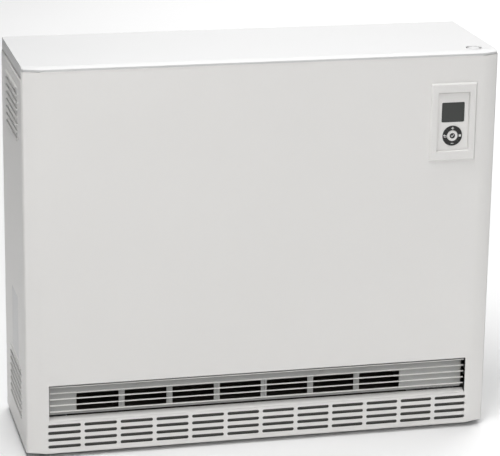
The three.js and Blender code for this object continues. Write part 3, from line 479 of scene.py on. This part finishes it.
def makeFrontPanel(s):
    form = bmesh.new()
    front = s["frontY"]
    back = front + s["flange"]
    low = s["bottom"] + s["edgeRadius"]
    high = s["top"] - s["edgeRadius"]
    rectangleLoop(form, (0, (low + high) / 2), 2 * s["flatHalf"], high - low)
    foldZ = s["ledge"] - s["ledgeRadius"]
    rectangleLoop(form, (0, (foldZ + s["outletTop"]) / 2), 2 * s["outletHalf"],
                  s["outletTop"] - foldZ)
    rectangleLoop(form, s["controlMiddle"], *s["controlOpening"])
    pitch = (2 * s["slotHalfSpan"] - s["slotLength"]) / (s["slotColumns"] - 1)
    for column in range(s["slotColumns"]):
        for row in range(s["slotRows"]):
            x = (column - (s["slotColumns"] - 1) / 2) * pitch
            z = s["firstSlotZ"] + row * s["slotPitchZ"]
            slotLoop(form, (x, z), s["slotLength"], s["slotHeight"])
    fillSheet(form)
    standUp(form, front)
    for start, away, edge in ((high, low, s["top"]), (low, high, s["bottom"])):
        bend = bendPath((front, away), (front, edge), (back, edge), s["edgeRadius"])
        sweepEdges(form, edgesAt(form, 2, start), [(front, start), *bend, (back, edge)], (1, 2))
    ledgeRear = (front + s["ledgeDepth"], s["ledge"] + s["ledgeRise"])
    ledgeBend = bendPath((front, low), (front, s["ledge"]), ledgeRear, s["ledgeRadius"], 8)
    sweepEdges(form, edgesAt(form, 2, foldZ), [(front, foldZ), *ledgeBend, ledgeRear], (1, 2))
    for side in (-1, 1):
        flat = (side * s["flatHalf"], front)
        corner = (side * s["halfWidth"], s["cornerY"])
        end = (side * s["halfWidth"], s["returnY"])
        path = [flat, *bendPath(flat, corner, end, s["cornerRadius"], 8), end]
        sweepEdges(form, onPlane(edgesAt(form, 0, flat[0]), 1, front), path, (0, 1))
    for vert in form.verts:  # the slanted ends reach the full height of the panel
        if abs(vert.co.x) < (s["flatHalf"] + s["stripGap"]) * mm:
            continue
        if vert.co.z < (low + slack) * mm:
            vert.co.z = s["bottom"] * mm
        elif vert.co.z > (high - slack) * mm:
            vert.co.z = s["top"] * mm
    bmesh.ops.recalc_face_normals(form, faces=form.faces[:])
    addPiece(form, "front_panel_sheet", "white_paint", replaced=("front_panel",),
             wall=s["sheet"], sharp=20)


makeFrontPanel(frontSettings)
print("front panel made")


# lid, with its sloping front strip, and the plug in it
lidSettings = {
    "halfWidth": 388.8,
    "flatHalf": 361.5,
    "frontY": -123.0,
    "cornerY": -115.0,
    "returnY": -110.7,
    "rearY": 120.0,
    "cornerRadius": 3.0,
    "seam": 630.7,
    "top": 650.0,
    "bevelDepth": 12.5,
    "bevelDrop": 2.5,
    "frontLip": 3.45,
    "skirtFront": -110.4,
    "foldRadius": 1.1,
    "foldLeast": 0.08,  # radians, below which a fold stays as it is
    "level": 0.9999,  # upward part of a normal, above which a face is level
    "sheet": 1.0,
    "plug": (356.0, -89.0),
    "plugHole": 13.1,
}


def makeLid(s):
    form = bmesh.new()
    flat = (-s["flatHalf"], s["frontY"])
    end = (-s["halfWidth"], s["returnY"])
    corner = (-s["halfWidth"], s["cornerY"])
    left = [end, *bendPath(end, corner, flat, s["cornerRadius"], 8), flat]
    right = [(-point[0], point[1]) for point in reversed(left)]
    rear = [(s["halfWidth"], s["rearY"]), (-s["halfWidth"], s["rearY"])]
    verts = [form.verts.new(millimetres(point[0], point[1], s["seam"]))
             for point in left + right + rear]
    region = [form.faces.new(verts)]
    eaves = s["top"] - s["bevelDrop"]
    for height in (eaves, s["top"]):
        region = extrudeOn(form, region)
        for vert in region[0].verts:
            vert.co.z = height * mm
            if height == s["top"] and vert.co.y < 0:
                vert.co.y += s["bevelDepth"] * mm
    slope = eaves - s["frontLip"]
    for place, normal in (((0, 0, slope), (0, 0, 1)), ((0, s["skirtFront"], 0), (0, 1, 0))):
        geom = form.verts[:] + form.edges[:] + form.faces[:]
        bmesh.ops.bisect_plane(form, geom=geom, plane_co=millimetres(*place), plane_no=normal,
                               dist=weld / 2)
    cutAway = [face for face in form.faces
               if face.calc_center_median().y < s["skirtFront"] * mm
               and face.calc_center_median().z < slope * mm]
    bmesh.ops.delete(form, geom=cutAway, context="FACES")
    folds = [edge for edge in form.edges if len(edge.link_faces) == 2
             and edge.calc_face_angle() > s["foldLeast"]
             and (min(vert.co.z for vert in edge.verts) > (eaves - slack) * mm
                  or min(vert.co.y for vert in edge.verts) > (s["rearY"] - slack) * mm)]
    bmesh.ops.bevel(form, geom=folds, offset=s["foldRadius"] * mm, offset_type="OFFSET",
                    segments=3, profile=0.5, affect="EDGES", material=-1, clamp_overlap=True)
    roof = [face for face in form.faces if abs(face.normal.z) > s["level"]]
    rim = [edge for face in roof for edge in face.edges
           if sum(other in roof for other in edge.link_faces) == 1]
    bmesh.ops.delete(form, geom=roof, context="FACES_ONLY")
    before = set(form.edges)
    circleLoop(form, s["plug"], s["plugHole"], 48)
    hole = [edge for edge in form.edges if edge not in before]
    bmesh.ops.translate(form, verts=list({vert for edge in hole for vert in edge.verts}),
                        vec=millimetres(0, 0, s["top"]))
    bmesh.ops.triangle_fill(form, edges=rim + hole, use_beauty=True, normal=(0, 0, 1))
    bmesh.ops.recalc_face_normals(form, faces=form.faces[:])
    # the lid's grey paint is painted shade over the casing's white
    addPiece(form, "lid_sheet", "lid_paint", replaced=("lid",), wall=s["sheet"], sharp=24)


plugSettings = {
    "wall": 0.8,
    # radius, depth below the lid's face
    "profile": ((0, 0.4), (8.2, 0.4), (8.7, 0.7), (9.0, 1.9), (10.5, 1.9), (10.8, 0.3),
                (11.2, 0.0), (11.6, 0.25), (11.8, 0.7), (11.8, 3.6)),
}


def makePlug(s):
    form = bmesh.new()
    x, y = lidSettings["plug"]
    middle = millimetres(x, y, lidSettings["top"])
    points = [middle + millimetres(radius, 0, -depth) for radius, depth in s["profile"]]
    turnProfile(form, points, middle, (0, 0, 1))
    # the cap takes the lid's grey paint, painted shade like the lid
    addPiece(form, "lid_plug_cap", "white_plastic", replaced=("lid_plug",), wall=s["wall"],
             sharp=30, material=finish["lid_paint"])


makeLid(lidSettings)
makePlug(plugSettings)
print("lid made")


# side panels with their louvre hoods, the black sheets of painted shade behind them and the bare
# plate
sideSettings = {
    "outer": 390.0,
    "frontY": -110.4,
    "rearY": 120.0,
    "bottom": 8.0,
    "top": 629.9,
    "flange": 11.0,
    "bendRadius": 1.5,
    "topBendRadius": 2.8,
    "sheet": 1.0,
    "slotMiddleY": -1.5,
    "slotLength": 128.0,
    "slotHeight": 5.6,
    "slotPitch": 12.0,
    "slotTops": (606.4, 135.4),
    "slotCount": 8,
    # outwards from the sheet, above the slot's lower edge
    "hoodPath": ((0, 5.6), (0.8, 5.3), (1.5, 4.75), (2.05, 4.0), (2.4, 3.1), (2.55, 2.2)),
    # the black sheet behind the slots is painted shade for the inside of the casing
    "shadeSheetDepth": 1.2,
    "shadeSheetMargin": 8.0,
    "shadeSheetThickness": 0.3,
    "plateMiddle": (-1.0, 196.5),
    "plateSize": (70.0, 107.0),
    "plateCorner": 2.5,
    "plateGap": 0.1,
    "plateSunk": 0.05,
    "plateSheet": 0.6,
}


def makeHood(s, form, side, z):  # pressed outwards over one slot, closed at both ends
    outer = side * s["outer"]
    lower = z - s["slotHeight"] / 2
    upper = z + s["slotHeight"] / 2
    reach = (s["slotLength"] / 2 + near) * mm
    edges = [edge for edge in edgesAt(form, 2, upper)
             if abs(edge.verts[0].co.y - s["slotMiddleY"] * mm) < reach]
    path = [(outer + side * out, lower + up) for out, up in s["hoodPath"]]
    sweepEdges(form, edges, path, (0, 2))
    for end in (-0.5, 0.5):
        place = (s["slotMiddleY"] + end * s["slotLength"]) * mm
        rim = [vert for vert in form.verts if abs(vert.co.y - place) < near * mm
               and (lower - near) * mm < vert.co.z < (upper + near) * mm
               and vert.co.x * side > (s["outer"] - near) * mm]
        centre = sum((vert.co for vert in rim), Vector()) / len(rim)
        rim.sort(key=lambda vert: math.atan2(vert.co.z - centre.z, vert.co.x - centre.x))
        form.faces.new(rim)


def makeSidePanel(s, name, node, side):
    form = bmesh.new()
    front = s["frontY"] + s["bendRadius"]
    top = s["top"] - s["topBendRadius"]
    rectangleLoop(form, ((front + s["rearY"]) / 2, (s["bottom"] + top) / 2),
                  s["rearY"] - front, top - s["bottom"])
    slots = [highest - step * s["slotPitch"] for highest in s["slotTops"]
             for step in range(s["slotCount"])]
    for z in slots:
        rectangleLoop(form, (s["slotMiddleY"], z), s["slotLength"], s["slotHeight"])
    if side < 0:  # the opening for the bare plate
        size = [length + 2 * s["plateGap"] for length in s["plateSize"]]
        rectangleLoop(form, s["plateMiddle"], *size, s["plateCorner"], 6)
    fillSheet(form)
    outer = side * s["outer"]
    inward = -side
    standSideways(form, outer)
    for z in slots:
        makeHood(s, form, side, z)
    radius = s["bendRadius"]
    corner = (outer, s["frontY"])
    end = (outer + inward * s["flange"], s["frontY"])
    path = [(outer, front), *bendPath((outer, 0), corner, end, radius), end]
    sweepEdges(form, edgesAt(form, 1, front), path, (0, 1))
    corner = (outer, s["top"])
    end = (outer + inward * s["flange"], s["top"])
    path = [(outer, top), *bendPath((outer, 0), corner, end, s["topBendRadius"], 8), end]
    sweepEdges(form, onPlane(edgesAt(form, 2, top), 0, outer), path, (0, 2))
    bmesh.ops.recalc_face_normals(form, faces=form.faces[:])
    turnTowards(form, (side, 0, 0))
    addPiece(form, name, "white_paint", replaced=(node,), wall=s["sheet"], sharp=24)


def makeLouvreShadeSheet(s, name, side):  # black sheet close behind the slots, painted shade for the inside of the casing
    form = bmesh.new()
    span = s["slotCount"] * s["slotPitch"] + s["shadeSheetMargin"]
    for highest in s["slotTops"]:
        middle = highest - (s["slotCount"] - 1) * s["slotPitch"] / 2
        rectangleLoop(form, (s["slotMiddleY"], middle), s["slotLength"] + s["shadeSheetMargin"], span)
    standSideways(form, side * (s["outer"] - s["shadeSheetDepth"]))
    turnTowards(form, (side, 0, 0))
    addPiece(form, name, "black_steel", wall=s["shadeSheetThickness"])


def makeBarePlate(s):  # bare foil plate, flush in the left side
    form = bmesh.new()
    rectangleLoop(form, s["plateMiddle"], *s["plateSize"], s["plateCorner"], 6)
    standSideways(form, s["plateSunk"] - s["outer"])
    turnTowards(form, (-1, 0, 0))
    addPiece(form, "bare_plate", "white_paint", wall=s["plateSheet"],
             material=finish["plate_foil"])


sides = {"left": -1, "right": 1}
for hand, side in sides.items():
    makeSidePanel(sideSettings, hand + "_side_sheet", hand + "_side_panel", side)
for hand, side in sides.items():
    makeLouvreShadeSheet(sideSettings, hand + "_louvre_shade_sheet", side)
makeBarePlate(sideSettings)
print("side panels made")


# air outlet: the blades, the ribs behind them and the plate with the windows
outletSettings = {
    "half": 351.5,
    "noseY": -120.0,
    "bladeDepth": 3.6,
    "bladeThickness": 1.2,
    "topBladeThickness": 1.6,
    "bladeRounding": 0.45,
    "firstZ": 78.2,
    "pitch": 10.6,
    "count": 5,
    "ribThickness": 1.2,
    "ribRounding": 0.2,
    "ribOverlap": 1.0,  # how far a rib reaches into the blades
    "ribRear": -113.6,
    "ribTop": 110.2,
    "middleX": -32.0,
    "windowPitch": 79.8,
    "windowCount": 7,
    "windowSize": (70.0, 29.0),
    "windowCorner": 1.5,
    "windowZ": 89.5,
    "plateY": -108.0,
    "plateX": (-353.5, 350.5),
    "plateZ": (69.0, 118.2),
    "plateSheet": 1.0,
    "latches": ((-202.0, 111.3), (108.0, 111.3)),
    "latchHole": 2.9,
}


def addBar(form, low, high, rounding, axis=0):  # a box with its edges along one axis rounded
    verts = bmesh.ops.create_cube(form, size=1)["verts"]
    size = millimetres(*high) - millimetres(*low)
    middle = (millimetres(*low) + millimetres(*high)) / 2
    bmesh.ops.scale(form, verts=verts, vec=size)
    bmesh.ops.translate(form, verts=verts, vec=middle)
    edges = {edge for vert in verts for edge in vert.link_edges
             if abs(edge.verts[0].co[axis] - edge.verts[1].co[axis]) > size[axis] / 2}
    bmesh.ops.bevel(form, geom=list(edges), offset=rounding * mm, offset_type="OFFSET",
                    segments=3, profile=0.5, affect="EDGES", material=-1)


def windowPlaces(s, count):  # x of the windows, or with one less, of the ribs between them
    return [s["middleX"] + (step - (count - 1) / 2) * s["windowPitch"] for step in range(count)]


def makeGrille(s):
    blades = bmesh.new()
    heights = [s["firstZ"] + step * s["pitch"] for step in range(s["count"])]
    for z in heights:
        thick = s["topBladeThickness"] if z == heights[-1] else s["bladeThickness"]
        addBar(blades, (-s["half"], s["noseY"], z - thick / 2),
               (s["half"], s["noseY"] + s["bladeDepth"], z + thick / 2), s["bladeRounding"])
    addPiece(blades, "grille_blades", "grille_paint", replaced=("outlet_grille",))
    ribs = bmesh.new()
    front = s["noseY"] + s["bladeDepth"] - s["ribOverlap"]
    for x in windowPlaces(s, s["windowCount"] - 1):
        addBar(ribs, (x - s["ribThickness"] / 2, front, heights[0] - s["ribOverlap"]),
               (x + s["ribThickness"] / 2, s["ribRear"], s["ribTop"]), s["ribRounding"], 2)
    addPiece(ribs, "grille_ribs", "grille_paint", replaced=("outlet_grille",),
             material=finish["grey_paint"])


def makeBackplate(s):
    form = bmesh.new()
    (left, right), (low, high) = s["plateX"], s["plateZ"]
    rectangleLoop(form, ((left + right) / 2, (low + high) / 2), right - left, high - low)
    for x in windowPlaces(s, s["windowCount"]):
        rectangleLoop(form, (x, s["windowZ"]), *s["windowSize"], s["windowCorner"])
    for latch in s["latches"]:
        circleLoop(form, latch, s["latchHole"], 20)
    fillSheet(form)
    standUp(form, s["plateY"])
    turnTowards(form, (0, -1, 0))
    addPiece(form, "outlet_backplate", "grey_paint", replaced=("grille_backplate",),
             wall=s["plateSheet"])


makeGrille(outletSettings)
makeBackplate(outletSettings)
print("air outlet made")


# control unit: bezel, faceplate, display and keys
controlSettings = {
    "middle": (314.0, 535.7),
    "frameSize": (78.0, 130.0),
    "slope": 2.5,
    "mouth": (54.9, 98.4),
    "recess": (52.5, 96.0),
    "neck": (56.5, 100.0),
    "faceY": -127.0,
    "baseY": -123.3,
    "recessY": -122.4,
    "rearY": -118.9,
    "corner": 1.2,
    "rim": 0.5,  # upright part of the bezel's edge, before its slope
    "bezelRounding": 0.4,
    "plateGap": 0.3,
    "plateCorner": 0.8,
    "plateRounding": 0.18,
    "plateThickness": 2.0,
    "displayMiddle": (314.0, 551.2),
    "displaySize": (38.2, 32.4),
    "displayCorner": 2.0,
    "displayBorder": 1.1,
    "paneProud": 0.15,
    "paneThickness": 1.3,
    "paneRounding": 0.25,
    "fieldCorner": 0.8,
    "fieldProud": 0.19,
    "fieldThickness": 0.03,
    "ringMiddle": (314.0, 511.9),
    "ringRadius": 16.5,
    "innerKeyRadius": 8.9,
    "keyGap": 0.35,
    "keyFront": -123.1,
    "keyThickness": 2.4,
    "keyRounding": 0.3,
    "centreFace": ((0, 0.25), (4.8, 0.22), (7.8, 0), (8.5, 0.1), (8.9, 0.5)),  # radius, depth
    "stemRadius": 1.2,
    "stemRear": -117.2,
    "stemLength": 3.7,
    "symbolHeight": 0.06,
    "strokeEnds": 0.6,  # how far a stroke runs on, as a share of its thickness
    "strokeStep": 0.125,  # each stroke lies a little higher, so that none coincide
    "dotRadius": 4.6,
    "dotDepth": 0.19,
    "dotThickness": 0.08,
    "sharpest": 0.3,  # radians, above which an edge of the bezel is rounded
    "sharpestKey": 0.5,
}


def steppedFrame(form, levels, middle, corner):  # a rounded rectangle dragged through sizes
    width, height, y = levels[0]
    rectangleLoop(form, middle, width, height, corner, 5)
    standUp(form, y)
    region = form.faces[:]
    centre = millimetres(middle[0], 0, middle[1])
    for nextWidth, nextHeight, nextY in levels[1:]:
        region = extrudeOn(form, region)
        for vert in region[0].verts:
            sideX = math.copysign(0.5 * mm, vert.co.x - centre.x)
            sideZ = math.copysign(0.5 * mm, vert.co.z - centre.z)
            vert.co.x += sideX * (nextWidth - width)
            vert.co.z += sideZ * (nextHeight - height)
            vert.co.y = nextY * mm
        width, height = nextWidth, nextHeight
    bmesh.ops.delete(form, geom=region, context="FACES_ONLY")
    bmesh.ops.remove_doubles(form, verts=form.verts, dist=weld)


def makeBezel(s):
    form = bmesh.new()
    width, height = s["frameSize"]
    slope = 2 * s["slope"]
    steppedFrame(form, [
        (*s["recess"], s["rearY"]), (*s["neck"], s["rearY"]), (*s["neck"], s["baseY"]),
        (width, height, s["baseY"]), (width, height, s["baseY"] - s["rim"]),
        (width - slope, height - slope, s["faceY"]), (*s["mouth"], s["faceY"]),
        (*s["recess"], s["recessY"]), (*s["recess"], s["rearY"]),
    ], s["middle"], s["corner"])
    bmesh.ops.recalc_face_normals(form, faces=form.faces[:])
    form.normal_update()
    folds = [edge for edge in form.edges if len(edge.link_faces) == 2
             and all(vert.co.y < (s["faceY"] + slack) * mm for vert in edge.verts)
             and edge.calc_face_angle() > s["sharpest"]]
    bmesh.ops.bevel(form, geom=folds, offset=s["bezelRounding"] * mm, offset_type="OFFSET",
                    segments=3, profile=0.5, affect="EDGES", material=-1, clamp_overlap=True)
    addPiece(form, "bezel_frame", "white_plastic", replaced=("control_bezel",), sharp=30)


def makeFaceplate(s):
    form = bmesh.new()
    width, height = s["recess"]
    gap = s["plateGap"]
    rectangleLoop(form, s["middle"], width - 2 * gap, height - 2 * gap, s["plateCorner"], 3)
    shown = [side + 2 * gap for side in s["displaySize"]]
    rectangleLoop(form, s["displayMiddle"], *shown, s["displayCorner"], 6)
    circleLoop(form, s["ringMiddle"], s["ringRadius"] + s["keyGap"], 64)
    fillSheet(form)
    standUp(form, s["recessY"])
    turnTowards(form, (0, -1, 0))
    addPiece(form, "faceplate", "white_plastic", replaced=("control_faceplate",),
             wall=s["plateThickness"], bevel=s["plateRounding"])


def makeDisplay(s):  # a pane, and the field that shows inside its border
    pane = bmesh.new()
    rectangleLoop(pane, s["displayMiddle"], *s["displaySize"], s["displayCorner"], 6)
    standUp(pane, s["recessY"] - s["paneProud"])
    turnTowards(pane, (0, -1, 0))
    addPiece(pane, "display_pane", "display_glass", replaced=("display_window",),
             wall=s["paneThickness"], bevel=s["paneRounding"])
    field = bmesh.new()
    size = [side - 2 * s["displayBorder"] for side in s["displaySize"]]
    rectangleLoop(field, s["displayMiddle"], *size, s["fieldCorner"], 6)
    standUp(field, s["recessY"] - s["fieldProud"])
    turnTowards(field, (0, -1, 0))
    addPiece(field, "display_field", "display_glass", wall=s["fieldThickness"],
             material=finish["display_field"])


def makeCentreKey(s):
    form = bmesh.new()
    x, z = s["ringMiddle"]
    rear = s["keyFront"] + s["keyThickness"]
    face = [(radius, s["keyFront"] + depth) for radius, depth in s["centreFace"]]
    profile = [*face, (s["innerKeyRadius"], rear), (s["stemRadius"], rear),
               (s["stemRadius"], s["stemRear"]), (0, s["stemRear"])]
    points = [millimetres(x + radius, y, z) for radius, y in profile]
    turnProfile(form, points, millimetres(x, 0, z), (0, 1, 0))
    addPiece(form, "centre_key", "white_plastic", "key_ok", ("ok_key",), sharp=35)


def makeArcKey(s, name, node, body, turn):  # one quarter of the ring, with its stem
    form = bmesh.new()
    x, z = s["ringMiddle"]
    middle = millimetres(x, 0, z)
    inner = s["innerKeyRadius"] + s["keyGap"]
    section = bmesh.ops.create_grid(form, x_segments=1, y_segments=1, size=0.5)["verts"]
    bmesh.ops.scale(form, verts=section, vec=((s["ringRadius"] - inner) * mm,
                                              s["keyThickness"] * mm, 1))
    bmesh.ops.translate(form, verts=section, vec=millimetres(
        x + (s["ringRadius"] + inner) / 2, s["keyFront"] + s["keyThickness"] / 2, z))
    halfGap = s["keyGap"] / 2 / s["ringRadius"]
    start = turn - math.pi / 4 + halfGap
    sweep = math.pi / 2 - 2 * halfGap
    bmesh.ops.rotate(form, verts=form.verts, cent=middle, matrix=Matrix.Rotation(-start, 3, "Y"))
    bmesh.ops.spin(form, geom=form.faces[:], cent=middle, axis=(0, -1, 0), steps=20,
                   angle=sweep, use_duplicate=False)
    bmesh.ops.remove_doubles(form, verts=form.verts, dist=weld)
    front = [edge for edge in form.edges if len(edge.link_faces) == 2
             and all(vert.co.y < (s["keyFront"] + near) * mm for vert in edge.verts)
             and edge.calc_face_angle() > s["sharpestKey"]]
    bmesh.ops.bevel(form, geom=front, offset=s["keyRounding"] * mm, offset_type="OFFSET",
                    segments=2, profile=0.5, affect="EDGES", material=-1)
    bmesh.ops.recalc_face_normals(form, faces=form.faces[:])
    reach = (s["ringRadius"] + inner) / 2
    radius = s["stemRadius"] * mm
    stem = bmesh.ops.create_cone(form, cap_ends=True, segments=12, radius1=radius,
                                 radius2=radius, depth=s["stemLength"] * mm)["verts"]
    bmesh.ops.rotate(form, verts=stem, matrix=Matrix.Rotation(math.pi / 2, 3, "X"))
    bmesh.ops.translate(form, verts=stem, vec=millimetres(
        x + reach * math.cos(turn), s["stemRear"] - s["stemLength"] / 2,
        z + reach * math.sin(turn)))
    addPiece(form, name, "dark_plastic", body, (node,), sharp=35)


def makeSymbol(s, name, body, reach, turn, y, strokes):  # light strokes printed on a key
    form = bmesh.new()
    x, z = s["ringMiddle"]
    across = x + reach * math.cos(turn)
    up = z + reach * math.sin(turn)
    for order, ((u0, w0), (u1, w1), thick) in enumerate(strokes):
        length = math.hypot(u1 - u0, w1 - w0) + thick * s["strokeEnds"]
        lift = s["symbolHeight"] * (0.5 + order * s["strokeStep"])
        bar = bmesh.ops.create_cube(form, size=1)["verts"]
        bmesh.ops.scale(form, verts=bar, vec=(length * mm, s["symbolHeight"] * mm, thick * mm))
        angle = math.atan2(w1 - w0, u1 - u0)
        bmesh.ops.rotate(form, verts=bar, matrix=Matrix.Rotation(-angle, 3, "Y"))
        bmesh.ops.translate(form, verts=bar, vec=millimetres(
            across + (u0 + u1) / 2, y - lift, up + (w0 + w1) / 2))
    addPiece(form, name, "white_plastic", body, material=finish["key_print"])


def makeCentreDot(s):  # the dark dot under the tick of the centre key
    form = bmesh.new()
    circleLoop(form, s["ringMiddle"], s["dotRadius"], 40)
    fillSheet(form)
    standUp(form, s["keyFront"] + s["dotDepth"])
    turnTowards(form, (0, -1, 0))
    addPiece(form, "centre_dot", "dark_plastic", "key_ok", wall=s["dotThickness"])


keySymbols = {
    # name: (body, direction in quarter turns, strokes as (from, to, thickness))
    "plus": ("key_plus", 1, [((-2.0, 0), (2.0, 0), 1.0), ((0, -2.0), (0, 2.0), 1.0)]),
    "minus": ("key_minus", 3, [((-2.0, 0), (2.0, 0), 1.0)]),
    "menu": ("key_menu", 0, [((-0.9, 0), (0.9, 0), 3.8)]),
    "back": ("key_back", 2, [((-2.4, 0.9), (1.9, 0.9), 0.9), ((-2.4, 0.9), (-1.0, 2.2), 0.9),
                             ((-2.4, 0.9), (-1.0, -0.4), 0.9), ((2.1, 0.9), (2.1, -1.7), 0.9),
                             ((2.1, -1.8), (-1.6, -1.8), 0.9)]),
}
tickStrokes = [((-1.9, 0.1), (-0.5, -1.5), 1.0), ((-0.5, -1.5), (2.1, 1.8), 1.0)]

makeBezel(controlSettings)
makeFaceplate(controlSettings)
makeDisplay(controlSettings)
makeCentreKey(controlSettings)
makeCentreDot(controlSettings)
ringReach = (controlSettings["ringRadius"] + controlSettings["innerKeyRadius"]) / 2
printY = controlSettings["keyFront"]
for keyName, (keyBody, quarter, keyStrokes) in keySymbols.items():
    direction = quarter * math.pi / 2
    makeArcKey(controlSettings, keyName + "_arc_key", keyName + "_key", keyBody, direction)
    makeSymbol(controlSettings, keyName + "_symbol", keyBody, ringReach, direction, printY,
               keyStrokes)
makeSymbol(controlSettings, "tick_symbol", "key_ok", 0, 0, printY + controlSettings["dotDepth"],
           tickStrokes)
print("control unit made")


# pale studio floor
floorSettings = {
    "half": 14.0,  # metres
    "below": 0.5,
    "low": (0.92, 0.92, 0.92),
    "high": (0.94, 0.94, 0.94),
    "roughness": 0.7,
}


def makeFloor(s):
    mesh = bpy.data.meshes.new("floor")
    form = bmesh.new()
    bmesh.ops.create_grid(form, x_segments=1, y_segments=1, size=s["half"])
    bmesh.ops.translate(form, verts=form.verts, vec=millimetres(0, 0, -s["below"]))
    form.to_mesh(mesh)
    form.free()
    floor = bpy.data.objects.new("floor", mesh)
    scene.collection.objects.link(floor)
    material, tree, shader = newMaterial("pale_floor")
    soft = noise(tree, 1.5, 2)
    tree.links.new(colourRange(tree, soft, s["low"], s["high"]), shader.inputs["Base Color"])
    shader.inputs["Roughness"].default_value = s["roughness"]
    mesh.materials.append(material)


makeFloor(floorSettings)
print("floor laid")
